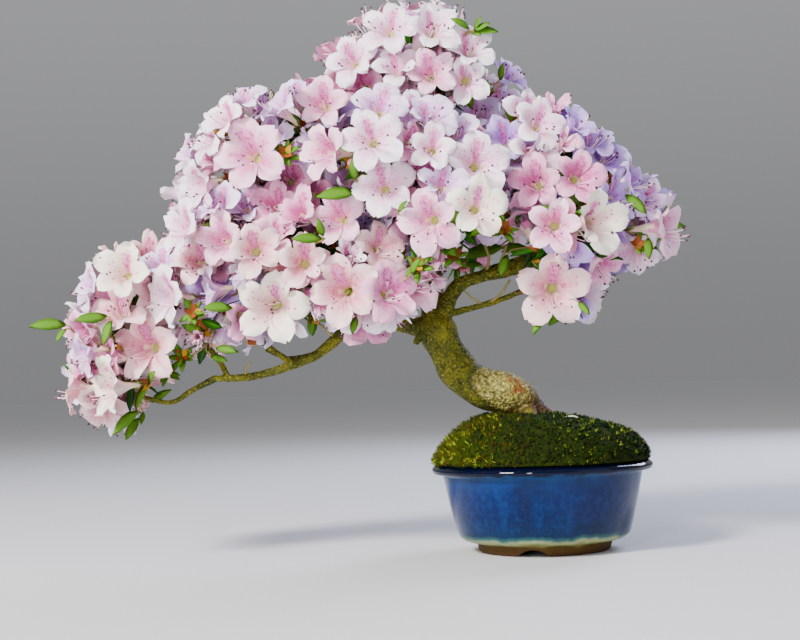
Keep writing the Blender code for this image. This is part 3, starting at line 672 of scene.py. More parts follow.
def bezier(start, start_along, end, end_along, steps):
    """A curve between two points that leaves and arrives along given directions."""
    start, end = np.asarray(start, float), np.asarray(end, float)
    reach = np.linalg.norm(end - start) * 0.35
    first = start + np.asarray(start_along) * reach
    second = end - np.asarray(end_along) * reach
    t = np.linspace(0, 1, steps + 1)[:, None]
    return ((1 - t) ** 3 * start + 3 * (1 - t) ** 2 * t * first + 3 * (1 - t) * t**2 * second
            + t**3 * end)


def smooth_route(knots, spans):
    """Rows on a Catmull-Rom curve through the knots, with so many spans between each two."""
    padded = np.concatenate((2 * knots[:1] - knots[1:2], knots, 2 * knots[-1:] - knots[-2:-1]))
    t = np.arange(spans)[:, None] / spans
    rows = []
    for a, b, c, d in zip(padded, padded[1:], padded[2:], padded[3:]):
        rows.append(0.5 * (2 * b + (c - a) * t + (2 * a - 5 * b + 4 * c - d) * t**2
                           + (3 * b - 3 * c + d - a) * t**3))
    return np.concatenate((*rows, knots[-1:]))


def shell_faces(rows, columns):
    """Faces of a thin closed blade: a grid of points on top, and one below that shares its rim."""
    top = numbered(rows + 1, columns + 1)
    below = top.copy()
    below[1:-1, 1:-1] = numbered(rows - 1, columns - 1, top.size)
    return np.concatenate((grid_faces(top), grid_faces(below)[:, [0, 3, 2, 1]]))


def blade(grid, thickness):
    """Points of a thin closed blade from its grid of middle points."""
    along = np.gradient(grid, axis=0)
    across = np.gradient(grid, axis=1)
    normal = np.cross(along, across)
    normal /= np.maximum(np.linalg.norm(normal, axis=2), 1e-9)[..., None]
    half = np.zeros(grid.shape[:2] + (1,))
    half[1:-1, 1:-1] = thickness / 2
    upper = grid - normal * half
    lower = grid + normal * half
    return np.concatenate((upper.reshape(-1, 3), lower[1:-1, 1:-1].reshape(-1, 3)))


def search_tree(shapes):
    """Search tree over several shapes of points and their faces."""
    points = np.concatenate([points for points, _ in shapes])
    starts = np.cumsum([0] + [len(points) for points, _ in shapes[:-1]])
    faces = [face for start, (_, faces) in zip(starts, shapes) for face in (faces + start).tolist()]
    return BVHTree.FromPolygons(points.tolist(), faces)


def crosses(tree, path, across):
    """Whether a ribbon along a path, so wide on each side, meets anything in the tree."""
    path = np.asarray(path, float)
    points = np.concatenate((path - across, path + across))
    return bool(tree.overlap(search_tree([(points, grid_faces(numbered(2, len(path)))[:, [0, 3, 2, 1]])])))


# Looks
def linear(colour):
    """An sRGB colour from 0 to 255 as linear shares."""
    shares = np.asarray(colour, float) / 255
    return tuple(np.where(shares <= 0.04045, shares / 12.92, ((shares + 0.055) / 1.055) ** 2.4))


def shades():
    """Looks for the steps of each tint."""
    found = {}
    for tint, (palest, deepest) in TINTS.items():
        for step in range(SHADES):
            share = (step / (SHADES - 1)) ** 1.4
            shade = tuple(a + (b - a) * share for a, b in zip(palest, deepest))
            found[f"{tint}_{step}"] = (shade, 0.5, 0.3)
    return found


LOOKS.update(shades())
LOOK_NAMES = list(LOOKS)
LOOK = {name: index for index, name in enumerate(LOOK_NAMES)}
PETAL_LOOKS = (*TINTS, "throat", "blotch")


def plain_material(name, colour, roughness, gloss):
    """A new material of one linear colour, and its shader."""
    made = bpy.data.materials.new(name)
    made.use_nodes = True
    shader = made.node_tree.nodes["Principled BSDF"]
    shader.inputs["Base Color"].default_value = (*colour, 1)
    shader.inputs["Roughness"].default_value = roughness
    shader.inputs["Specular IOR Level"].default_value = gloss
    return made, shader


def plain_look(name):
    """The plain material of a look, which is soft and lets light in where it is a petal's."""
    found = bpy.data.materials.get(name)
    if found:
        return found
    colour, roughness, gloss = LOOKS[name]
    made, shader = plain_material(name, linear(colour), roughness, gloss)
    if name.startswith(PETAL_LOOKS):
        shader.inputs["Sheen Weight"].default_value = 0.15
        shader.inputs["Subsurface Weight"].default_value = 0.3
        shader.inputs["Subsurface Scale"].default_value = 0.002
    return made


# The photograph's view
def camera_axes():
    """The camera's right, up and forward directions."""
    pitch, roll = math.radians(CAMERA_PITCH), math.radians(CAMERA_ROLL)
    forward = np.array((0, math.cos(pitch), math.sin(pitch)))
    right = np.array((1.0, 0, 0))
    up = np.cross(right, forward)
    return right * math.cos(roll) - up * math.sin(roll), right * math.sin(roll) + up * math.cos(roll), forward


def pixel_ray(x, y):
    """Direction from the camera through a pixel of the photograph."""
    right, up, forward = camera_axes()
    ray = FOCAL_PIXELS * forward + right * (x - PHOTO_WIDTH / 2) - up * (y - PHOTO_HEIGHT / 2)
    return unit(ray)


def pixel_of(point):
    """Where a point of the tables shows in the photograph, and how far off it is."""
    right, up, forward = camera_axes()
    offset = np.asarray(point, float) - CAMERA_AT
    depth = offset @ forward
    across = PHOTO_WIDTH / 2 + FOCAL_PIXELS * (offset @ right) / depth
    return across, PHOTO_HEIGHT / 2 - FOCAL_PIXELS * (offset @ up) / depth, depth


def facing_of(azimuth, elevation):
    """A direction towards the camera, turned to the right and up by degrees."""
    right, up, forward = camera_axes()
    a, e = math.radians(azimuth), math.radians(elevation)
    return right * math.sin(a) * math.cos(e) + up * math.sin(e) - forward * math.cos(a) * math.cos(e)


def in_open_place(point):
    """Whether a point would show where the photograph is open."""
    x, y, _ = pixel_of(point)
    return any(math.hypot(x - at_x, y - at_y) < radius for at_x, at_y, radius in OPEN_PLACES)


def in_outline(point):
    """Whether a point shows inside the crown's outline in the photograph."""
    x, y, _ = pixel_of(point)
    inside = False
    for (x0, y0), (x1, y1) in zip(CROWN_OUTLINE, CROWN_OUTLINE[1:] + CROWN_OUTLINE[:1]):
        if (y0 > y) != (y1 > y) and x < x0 + (x1 - x0) * (y - y0) / (y1 - y0):
            inside = not inside
    return inside


def way_behind(face, seen_places):
    """How far a blossom has to go back to stand behind the ends of the photograph near it."""
    x, y, depth = pixel_of(face)
    near = np.hypot(seen_places[:, 0] - x, seen_places[:, 1] - y) < BEHIND_PIXELS
    return max(0.0, seen_places[near, 2].max() + BEHIND_SEEN - depth) if near.any() else 0.0


def seen_place(x, y, cells):
    """The nearest mass on a pixel's line of sight, and where the line meets its front or passes it."""
    ray = pixel_ray(x, y)
    met = []
    passed = []
    for cell in cells:
        start = (CAMERA_AT - cell.centre) / cell.half
        step = ray / cell.half
        a, b, c = step @ step, start @ step, start @ start - 1
        middle = -b / a
        root = b * b - a * c
        if root >= 0:
            met.append((middle - math.sqrt(root) / a, cell))
        passed.append((cell.depth(CAMERA_AT + ray * middle), middle, cell))
    if met:
        distance, cell = min(met, key=lambda item: item[0])
    else:
        _, distance, cell = min(passed, key=lambda item: item[0])
    return cell, CAMERA_AT + ray * distance, ray


# Blossoms
PETAL_FACES = grid_faces(numbered(len(PETAL_ROWS), PETAL_COLUMNS + 1))


def petal_looks(tint, spotted, deeper):
    """Looks of one petal's faces, palest at the rim and deepest in the throat, a deeper tint with painted
    shade in it; the paler faces along the rims are a painted highlight.

    A spotted one has a soft mark up its middle.
    """
    across = np.abs((np.arange(PETAL_COLUMNS) + 0.5) / PETAL_COLUMNS * 2 - 1)
    # The faces along the rims are a step paler: a painted highlight.
    steps = np.array(PETAL_STEPS)[:, None] - (across > 0.75) + deeper
    if spotted:
        wedge = np.array(WEDGE_HALF)[:, None]
        steps = steps + 2 * (across < wedge) + (across < wedge - 0.2)
    looks = LOOK[f"{tint}_0"] + np.clip(steps + (across < 0.2) * (steps > 1), 0, SHADES - 1)
    looks[:2] = LOOK["throat"]
    if spotted:
        looks = np.where(across < np.array(MARK_HALF)[:, None], LOOK["blotch"], looks)
    else:
        looks[2, across < 0.4] = LOOK["throat"]
    return looks.ravel()


def sheet(head, grid, first=THROAT_ROW):
    """A coarse copy of a petal from one row on, in millimetres, to test it against others."""
    part = grid[first:, ::2]
    return part.reshape(-1, 3) @ head.turn.T + head.base, grid_faces(numbered(*part.shape[:2]))


def whole_bloom(head):
    """Coarse shapes of a blossom's petals and tube, closed across the throat."""
    shapes = [sheet(head, grid, 1) for grid in head.petals]
    radius, height, _ = PETAL_ROWS[THROAT_ROW + 1]
    rim = flat_ring(radius, height, PETALS)
    shapes.append((rim @ head.turn.T + head.base, np.arange(PETALS)[None, :]))
    return shapes


def petal_nature(rng):
    """What sets one petal apart from the next."""
    return {
        "length": 1 + rng.uniform(-0.09, 0.07),
        "width": 1 + rng.uniform(-0.12, 0.1),
        "lift": rng.uniform(-0.14, 0.14),
        "curl": rng.uniform(-1.2, 0.8),
        "cup": rng.uniform(-1.6, 1.6),
        "twist": rng.uniform(0.5, 1.9),
        "turn": rng.uniform(-0.07, 0.07),
        "waves": (rng.uniform(0, 6.3), rng.uniform(0, 6.3)),
    }


def petal_grid(nature, petal, flower, bend):
    """Middle points of one petal about the blossom's axis, with its own waves and bend."""
    radius, height, half = np.array(PETAL_ROWS).T
    row = np.arange(len(PETAL_ROWS))
    lobe = np.clip((row - THROAT_ROW) / (len(PETAL_ROWS) - 1 - THROAT_ROW), 0, 1)
    reach = (radius - radius[THROAT_ROW]) * nature["length"]
    rise = height - height[THROAT_ROW]
    lift = flower["closing"] + nature["lift"] + bend
    lifted = row > THROAT_ROW
    radius = np.where(lifted, radius[THROAT_ROW] + reach * math.cos(lift) - rise * math.sin(lift), radius)
    height = np.where(lifted, height[THROAT_ROW] + reach * math.sin(lift) + rise * math.cos(lift), height)
    height = height + (flower["curl"] + nature["curl"]) * lobe**2
    u = np.linspace(-1, 1, PETAL_COLUMNS + 1)[None, :]
    row, lobe = row[:, None], lobe[:, None]
    angle = 2 * math.pi * petal / PETALS + nature["turn"] * lobe
    angle = angle + np.radians(half)[:, None] * u * (flower["width"] * nature["width"]) ** lobe
    first, second = nature["waves"]
    wave = np.sin(1.7 * row + first) * (u > 0) + np.sin(1.7 * row + second) * (u < 0)
    z = height[:, None] + lobe * (
        (flower["cup"] + nature["cup"]) * u**2
        + flower["wave"] * wave * np.abs(u) ** 1.8
        + nature["twist"] * u
        - 1.3 * np.exp(-((u / 0.25) ** 2))
    )
    r = radius[:, None] + lobe**4 * (0.5 * np.sin(7 * u + first) - 0.6 * np.exp(-((u / 0.25) ** 2)))
    return np.stack((r * np.cos(angle), r * np.sin(angle), z + 0 * u), -1)


def open_bloom(head, rng, near):
    """Shapes a blossom's petals, each bent clear of the blossoms near it, and counts what still crosses."""
    flower = {
        "closing": head.closing + rng.uniform(-0.12, 0.25),
        "curl": rng.uniform(-3.0, 0.0),
        "width": rng.uniform(0.94, 1.06),
        "cup": rng.uniform(-2.0, 0.8),
        "wave": rng.uniform(1.1, 2.5),
    }
    up = np.array((rng.uniform(-0.35, 0.35), rng.uniform(-0.35, 0.35), 1.0))
    head.turn = turn_to(head.facing, up) * head.size
    head.petals = []
    left = 0
    for petal in range(PETALS):
        nature = petal_nature(rng)
        best = None
        for bend in BENDS:
            grid = petal_grid(nature, petal, flower, bend)
            tree = search_tree([sheet(head, grid)])
            crossed = sum(len(tree.overlap(other)) for other in near)
            if best is None or crossed < best[0]:
                best = (crossed, grid)
            if not crossed:
                break
        left += best[0]
        head.petals.append(best[1])
    return left


def open_blooms(cells):
    """Shapes all the blossoms, those seen in the photograph first, and returns two search trees.

    The first is over all petals, the second over whole blossoms with their tubes. A blossom that would cross
    those before it is drawn in, one that is seen straight away from the camera. One that still crosses is
    left out, unless it is seen.
    """
    rng = random.Random("petals")
    blooms = [(head, cell) for cell in cells for head in cell.heads if head.kind == "bloom"]
    blooms.sort(key=lambda item: pixel_of(item[0].face())[2] if item[0].seen else math.inf)
    reach = 2 * PETAL_ROWS[-1][0] + 6
    kept, middles, trees = [], np.empty((0, 3)), []
    for head, cell in blooms:
        away = unit(head.base - CAMERA_AT if head.seen else -head.facing)
        for _ in range(DRAWN_IN):
            middle = head.face()
            near = np.flatnonzero(np.linalg.norm(middles - middle, axis=1) < reach)
            crossed = open_bloom(head, rng, [trees[other] for other in near])
            if crossed <= MOST_CROSSED:
                break
            head.base = head.base + away * DRAW_STEP
        if crossed > MOST_CROSSED and not head.seen:
            cell.heads.remove(head)
            continue
        kept.append(head)
        middles = np.concatenate((middles, [middle]))
        trees.append(search_tree(whole_bloom(head)))
    petal_tree = search_tree([sheet(head, grid) for head in kept for grid in head.petals])
    bloom_tree = search_tree([shape for head in kept for shape in whole_bloom(head)])
    return petal_tree, bloom_tree


def stamen_path(rng, length, lean, around):
    """A filament from the throat that sweeps down and then up at its tip."""
    t = np.linspace(0, 1, 5)
    spread = 1.2 + lean * t**1.4
    x = spread * math.cos(around) - 3.6 * np.sin(math.pi * t * 0.8)
    y = spread * math.sin(around)
    return np.column_stack((x + rng.uniform(-0.5, 0.5) * t, y, 6 + (length - 6) * t))


def add_bloom(pile, rng, head, petal_tree):
    """One blossom with its freckles, stamens, pistil and sepals."""
    turn, base = head.turn, head.base
    for petal, grid in enumerate(head.petals):
        looks = petal_looks(head.tint, petal == 0, rng.choice((0, 0, 1)))
        pile.add(grid.reshape(-1, 3) @ turn.T + base, PETAL_FACES, looks)
        add_freckles(pile, rng, grid, FRECKLES.get(petal, 0), turn, base)
    for index in range(STAMENS + 1):
        pistil = index == STAMENS
        for _ in range(4):
            around = math.pi * (0.5 + (index + 0.5) / STAMENS) + rng.uniform(-0.3, 0.3)
            length = rng.uniform(35, 40) if pistil else rng.uniform(28, 35)
            lean = 3.0 if pistil else rng.uniform(4, 13)
            path = stamen_path(rng, length, lean, math.pi if pistil else around) @ turn.T + base
            if not crosses(petal_tree, path[2:], turn[:, 1] * 0.4):
                break
        else:
            continue
        if pistil:
            add_stamen(pile, path, 0.42, "pistil", 0.7)
        else:
            add_stamen(pile, path, 0.36, "filament", 1.0)
    add_heart(pile, turn, base)
    add_calyx(pile, rng, turn, base)


def add_heart(pile, turn, base):
    """The pale green heart that closes the throat."""
    sides = 10
    points = np.concatenate(([(0, 0, 0.6)], flat_ring(HEART_RADIUS, 0, sides))) + (0, 0, HEART_HEIGHT)
    pile.add(points @ turn.T + base, fan_faces(0, 1, sides), LOOK["heart"])


def add_freckles(pile, rng, grid, count, turn, base):
    """Small spots just over a petal's face."""
    columns = grid.shape[1]
    for _ in range(count):
        row = THROAT_ROW + 3.4 * rng.random() ** 1.3
        column = (columns - 1) * (0.5 + rng.uniform(-0.28, 0.28))
        i, j = int(row), int(column)
        s, t = row - i, column - j
        spot = ((1 - s) * (1 - t) * grid[i, j] + s * (1 - t) * grid[i + 1, j]
                + (1 - s) * t * grid[i, j + 1] + s * t * grid[i + 1, j + 1])
        along = unit(grid[i + 1, j] - grid[i, j])
        across = unit(grid[i, j + 1] - grid[i, j])
        out = np.cross(across, along)
        out *= 1 if out[2] > 0 else -1
        along *= rng.uniform(0.6, 1.1)
        across *= rng.uniform(0.3, 0.45)
        middle = spot + out * 0.3
        points = np.array([middle + along, middle + across, middle - along, middle - across])
        pile.add(points @ turn.T + base, [(0, 1, 2, 3)], LOOK["freckle"])


def add_scale(pile, root, along, across, length, look):
    """A small pointed scale, hollow towards the shoot."""
    out = np.cross(across, along)
    width = across * 0.28 * length
    points = np.array([root - width * 0.5, root + width * 0.5, root + along * 0.5 * length + width,
                       root + along * length, root + along * 0.5 * length - width,
                       root + along * 0.45 * length + out * 0.12 * length])
    faces = [(0, 1, 5), (1, 2, 5), (2, 3, 5), (3, 4, 5), (4, 0, 5)]
    pile.add(points, faces, LOOK[look])


def add_stamen(pile, path, radius, look, knob_size):
    """A filament with its knob."""
    pile.add(*tube(path, np.linspace(radius, 0.75 * radius, len(path)), 3), LOOK[look])
    along = unit(path[-1] - path[-2])
    knob = [path[-1] + along * step * knob_size for step in (-0.9, 0, 0.9)]
    pile.add(*tube(knob, [0.45 * knob_size, 0.8 * knob_size, 0.45 * knob_size], 4), LOOK["anther"])


def add_calyx(pile, rng, turn, base):
    """Small sepals that hold the tube."""
    for index in range(PETALS):
        out, across = spoke(2 * math.pi * (index + rng.uniform(-0.1, 0.1)) / PETALS)
        points = [out * away + across * aside + (0, 0, rise) for away, aside, rise in SEPAL]
        pile.add(np.array(points) @ turn.T + base, SEPAL_FACES, LOOK["sepal"])


def add_bud(pile, rng, base, facing, size):
    """A rose bud, closed at both ends, in a cup of brown scales."""
    rows, sides, scales = 7, 8, 5
    turn = turn_to(facing, (rng.uniform(-1, 1), rng.uniform(-1, 1), 1)) * size
    length = rng.uniform(11, 16)
    share = np.linspace(0, 1, rows)
    swell = 3.1 * np.sin(np.pi * share**0.75) ** 0.8 + 0.2
    path = np.column_stack((0 * share, 0 * share, length * share))
    pile.add(*tube(path @ turn.T + base, swell * size, sides), LOOK["bud"])
    for index in range(scales):
        out, across = (turn @ way for way in spoke(2 * math.pi * index / scales))
        add_scale(pile, base + out * 1.2, turn[:, 2] * 0.95 + out * 0.3, across, 6.5, "bud_scale")


# Leaves
LEAF_FACES = shell_faces(LEAF_ROWS, 3)


def add_leaf(pile, rng, bloom_tree, root, along, size, kind, up=(0, 0, 1)):
    """An elliptical leaf with a rib, folded and bent a little.

    Returns False, and adds nothing, where it would cross a blossom.
    """
    share = np.linspace(0, 1, LEAF_ROWS + 1)[:, None]
    width = LEAF_WIDTH / 2 * np.sin(np.pi * np.clip(share, 0.03, 0.98) ** 0.9) ** 0.7
    u = np.array((-1, -0.09, 0.09, 1))[None, :]
    fold = rng.uniform(0.1, 0.35)
    bend = rng.uniform(-0.1, 0.3)
    x = width * u
    y = np.abs(x) * fold - LEAF_LENGTH * bend * share**2
    grid = np.stack((y, x, LEAF_LENGTH * share + 0 * x), -1) * size
    turn = turn_to(along, up)
    middle = grid[:, 1] @ turn.T + root
    if crosses(bloom_tree, middle, turn[:, 1] * LEAF_WIDTH / 2 * size):
        return False
    points = blade(grid, 0.5 * size) @ turn.T + root
    back = "leaf" if kind == "leaf_dark" else "leaf_back"
    looks = np.tile((LOOK[kind], LOOK[LEAF_RIBS[kind]], LOOK[kind]), LEAF_ROWS)
    pile.add(points, LEAF_FACES, np.concatenate((np.full(len(looks), LOOK[back]), looks)))
    return True


def add_whorl(pile, rng, bloom_tree, root, along, count, size, kind="leaf"):
    """Leaves round a shoot and the bud scales at their feet, leaning forward, clear of the blossoms."""
    turn = turn_to(along, (0.3, 0.2, 1))
    start = rng.uniform(0, 2 * math.pi)
    for index in range(count):
        angle = start + 2 * math.pi * (index + rng.uniform(-0.2, 0.2)) / count
        out = unit(turn @ spoke(angle, rng.uniform(0.15, 0.8))[0])
        chosen = kind if rng.random() > 0.15 else "leaf_young"
        add_leaf(pile, rng, bloom_tree, root + out * 0.5, out, size * rng.uniform(0.7, 1.05), chosen, along)
    for index in range(4):
        out, across = (turn @ way for way in spoke(start + 1.6 * index, 0.9))
        out = unit(out)
        look = "bud_scale" if rng.random() < 0.7 else "leaf_ochre"
        if not crosses(bloom_tree, (root - out, root + out * 8), across * 1.5):
            add_scale(pile, root, out, across, 7.5, look)


def add_seen_leaf(pile, rng, head, bloom_tree):
    """A leaf of the photograph, brought towards the camera until it is clear of the blossoms."""
    towards = unit(CAMERA_AT - head.base)
    for _ in range(LEAF_STEPS):
        if add_leaf(pile, rng, bloom_tree, head.base, head.facing, head.size, head.tint, facing_of(-10, 25)):
            return
        head.base = head.base + towards * LEAF_STEP


# Masses
@dataclass(eq=False)
class Head:
    """What a twig ends in: a blossom, a cluster of buds, a leafy shoot, a sprig or a single leaf."""

    kind: str
    base: np.ndarray
    facing: np.ndarray
    size: float
    tint: str
    seen: bool = False
    closing: float = 0.0
    turn: np.ndarray = None
    petals: list = field(default_factory=list)

    def face(self):
        """The middle of a blossom's face."""
        return self.base + self.facing * BLOOM_FACE * self.size


class Cell:
    """The space of one mass, and the heads that grow in it."""

    def __init__(self, name):
        centre, half, self.carrier = MASSES[name]
        self.name = name
        self.centre = np.array(centre, float)
        self.half = np.array(half, float)
        self.heads = []

    def depth(self, point):
        """Under 1 inside the mass, 1 on its surface."""
        return math.sqrt((((point - self.centre) / self.half) ** 2).sum())

    def normal(self, away):
        """The surface's outward direction where it lies this way from the centre."""
        return unit(away / self.half)

    def area(self):
        """Surface of the mass, in square millimetres, by a close rule for ellipsoids."""
        a, b, c = self.half**1.6
        return 4 * math.pi * ((a * b + a * c + b * c) / 3) ** (1 / 1.6)


def spread_directions(count, rng):
    """Directions spread evenly over a sphere, turned by a random angle."""
    index = np.arange(count)
    up = 1 - (2 * index + 1) / count
    flat = np.sqrt(1 - up * up)
    angle = math.pi * (3 - math.sqrt(5)) * index + rng.uniform(0, 2 * math.pi)
    return np.column_stack((flat * np.cos(angle), flat * np.sin(angle), up))


def exposed(cell, cells, point):
    """Whether a point of the cell's surface lies outside every other mass."""
    return all(other is cell or other.depth(point) ** 2 > INSIDE_OTHER for other in cells)


def plant_seen_heads(cells):
    """Sets blossoms, leaves and sprigs at their places in the photograph, and returns their middles."""
    middles = []
    for x, y, azimuth, elevation, behind, size, tint in SEEN_BLOOMS:
        cell, point, ray = seen_place(x, y, cells)
        facing = facing_of(azimuth, elevation)
        face = point + ray * (behind + 2)
        middles.append(face)
        closing = 0.8 if size < 0.6 else 0.0
        cell.heads.append(Head("bloom", face - facing * BLOOM_FACE * size, facing, size, tint, True, closing))
    for x, y, tip_x, tip_y, young in SEEN_LEAVES:
        cell, point, ray = seen_place(x, y, cells)
        root = point + ray
        tip = CAMERA_AT + pixel_ray(tip_x, tip_y) * ((root - CAMERA_AT) @ ray - 8)
        along = tip - root
        length = np.linalg.norm(along)
        middles.append((root + tip) / 2)
        look = "leaf_young" if young else "leaf"
        cell.heads.append(Head("leaf", root, along / length, length / LEAF_LENGTH, look, True))
    for x, y in SEEN_SPRIGS:
        cell, point, ray = seen_place(x, y, cells)
        middles.append(point + ray * 2)
        cell.heads.append(Head("sprig", point + ray * 4, facing_of(0, 20), 1.0, "leaf_ochre", True))
    return np.array(middles)


def tint_for(rng, point):
    """Lavender, a painted cool shade, to the right and behind, white and misty in the middle, the misty
    tint also a painted cool shade, and pinker to the left.
    """
    # Share of painted cool shade, larger to the right and behind
    cool_shade = 0.04 + 0.45 * (point[0] > 10) + 0.12 * (point[1] > 40)
    if rng.random() < cool_shade:
        return "lavender"
    if point[0] > -150:
        return rng.choice(("white", "white", "mist", "mist", "blush", "pink"))
    return rng.choice(("white", "white", "mist", "rose", "rose", "pink"))


def plant_rule_heads(cell, cells, seen, rng):
    """Sets ends at even distances all over the mass, behind those of the photograph."""
    seen_places = np.array([pixel_of(middle) for middle in seen])
    forward = camera_axes()[2]
    for away in spread_directions(round(cell.area() / AREA_PER_END), rng):
        surface = cell.centre + cell.half * away
        if not exposed(cell, cells, surface) or in_open_place(surface):
            continue
        if np.linalg.norm(seen - surface, axis=1).min() < CLEAR_OF_SEEN:
            continue
        lean = any_way(rng) * 0.5 + (0, 0, 0.12)
        facing = unit(cell.normal(away) + lean)
        for _ in range(OUTLINE_STEPS):
            if in_outline(surface) and in_outline(surface + facing * 6):
                break
            surface = surface + (cell.centre - surface) * OUTLINE_STEP
        else:
            continue
        size = rng.uniform(0.76, 1.0)
        chance = rng.random()
        closing = 0.0
        if chance < (UNDERSIDE_LEAFY_SHARE if away[2] < UNDERSIDE else LEAFY_SHARE):
            kind, inset = "leafy", LEAFY_INSET
        elif chance > 1 - BUD_SHARE:
            kind, inset = "bud", BUD_INSET
        else:
            kind, inset = "bloom", BLOOM_FACE * size + rng.uniform(1, 9)
            closing = rng.choice((0, 0, 0, 0.15, 0.3, 0.5))
        base = surface - facing * inset
        face = base + facing * BLOOM_FACE * size
        back = way_behind(face, seen_places)
        if back < MOST_BACK and not in_open_place(face):
            cell.heads.append(Head(kind, base + forward * back, facing, size, tint_for(rng, surface),
                                   closing=closing))


def limb_points(name, spans=4):
    """Route and radii of a limb, in millimetres."""
    if name == "trunk":
        knots = np.array(TRUNK, float)
    else:
        start, end, *places = BOUGHS[name]
        share = np.linspace(0, 1, len(places))
        knots = np.column_stack((np.array(places, float), start + (end - start) * share**0.7))
    route = smooth_route(knots, spans)
    return route[:, :3], route[:, 3]


def add_twig(pile, start, start_along, end, end_along, start_radius, end_radius):
    """A twig between two points, with more sides and steps where it is thick."""
    steps, sides = (4, 4) if end_radius < THICK_TWIG else (5, 6)
    path = bezier(start, start_along, end, end_along, steps)
    look = "twig" if end_radius > 0.75 else "twig_young"
    pile.add(*tube(path, np.linspace(start_radius, end_radius, steps + 1), sides), LOOK[look])


def fork(first, second, cell, twigs, leaves, rng, bloom_tree):
    """Joins two twigs, each an end, its direction and radius, in one that starts nearer to the heart."""
    heart = cell.centre
    middle = (first[0] + second[0]) / 2
    joint = heart + (middle - heart) * FORK_SHARE + any_way(rng, 2)
    radius = min((first[2]**FORK_POWER + second[2]**FORK_POWER) ** (1 / FORK_POWER), TWIG_MOST_RADIUS)
    outward = middle - heart
    outward /= max(np.linalg.norm(outward), 1e-6)
    for end, along, end_radius in (first, second):
        add_twig(twigs, joint, outward, end, along, radius, end_radius)
    for _ in range(2):
        sideways = unit(any_way(rng) + outward * 0.7)
        add_leaf(leaves, rng, bloom_tree, joint, sideways, rng.uniform(0.6, 0.95), "leaf_dark")
    return joint, outward, radius


def grow_twigs(cell, twigs, leaves, rng, bloom_tree):
    """Joins the heads two by two, nearest first, in forks that draw in to the stem at the heart."""
    route, radii = limb_points(cell.carrier)
    tip_along = unit(route[-1] - route[-2])
    heart = cell.centre
    level = []
    for head in cell.heads:
        back = head.base - head.facing * (PEDICEL if head.kind == "bloom" else 0)
        level.append((back, head.facing, TWIG_TIP_RADIUS))
        if head.kind == "bloom":
            add_twig(twigs, back, head.facing, head.base, head.facing, 0.6, 0.8)
    while len(level) > 3:
        joined = []
        left = sorted(level, key=lambda item: -np.linalg.norm(item[0] - heart))
        while len(left) > 1:
            end = left.pop(0)
            nearest = min(range(len(left)), key=lambda index: np.linalg.norm(left[index][0] - end[0]))
            joined.append(fork(end, left.pop(nearest), cell, twigs, leaves, rng, bloom_tree))
        level = joined + left
    stem = bezier(route[-1] - tip_along * 3, tip_along, heart, (0, 0, 1), 6)
    twigs.add(*tube(stem, np.linspace(radii[-1], 1.5, 7), 7), LOOK["twig"])
    for end, along, end_radius in level:
        add_twig(twigs, stem[4], tip_along, end, along, TWIG_MOST_RADIUS, end_radius)


def dress_mass(cell, petal_tree, bloom_tree):
    """The mass's blossoms, leaves and twigs, each kind in one piece."""
    rng = random.Random(cell.name + " looks")
    blooms, leaves, twigs = Pile(), Pile(), Pile()

    def whorl(forward, count, size, *kind):
        root = head.base + head.facing * forward
        add_whorl(leaves, rng, bloom_tree, root, head.facing, count, size, *kind)

    for head in cell.heads:
        if head.kind == "bloom":
            add_bloom(blooms, rng, head, petal_tree)
            whorl(-PEDICEL, rng.choice((2, 3, 3)), 0.9)
        elif head.kind == "bud":
            for _ in range(3):
                add_bud(blooms, rng, head.base, head.facing + any_way(rng, 0.5), head.size)
            whorl(0, 4, 0.85)
        elif head.kind == "leafy":
            whorl(0, rng.choice((4, 5, 6)), rng.uniform(0.7, 1.0))
            whorl(3, rng.choice((2, 3)), 0.6, "leaf_young")
        elif head.kind == "sprig":
            whorl(0, 5, 0.5, "leaf_ochre")
            whorl(2, 3, 0.4, "leaf_young")
        else:
            add_seen_leaf(leaves, rng, head, bloom_tree)
    grow_twigs(cell, twigs, leaves, rng, bloom_tree)
    stem = cell.name.removesuffix("_blossom")
    settle(blooms.build(f"{stem}_flowers"), "foliage", cell.name)
    settle(leaves.build(f"{stem}_leaves"), "foliage", cell.name)
    settle(twigs.build(f"{stem}_twigs"), "bark", cell.name)


def dress_masses():
    """Plants and dresses all the masses, each of them clear of the others' blossoms."""
    cells = [Cell(name) for name in MASSES]
    seen = plant_seen_heads(cells)
    for cell in cells:
        plant_rule_heads(cell, cells, seen, random.Random(cell.name))
    petal_tree, bloom_tree = open_blooms(cells)
    for cell in cells:
        dress_mass(cell, petal_tree, bloom_tree)


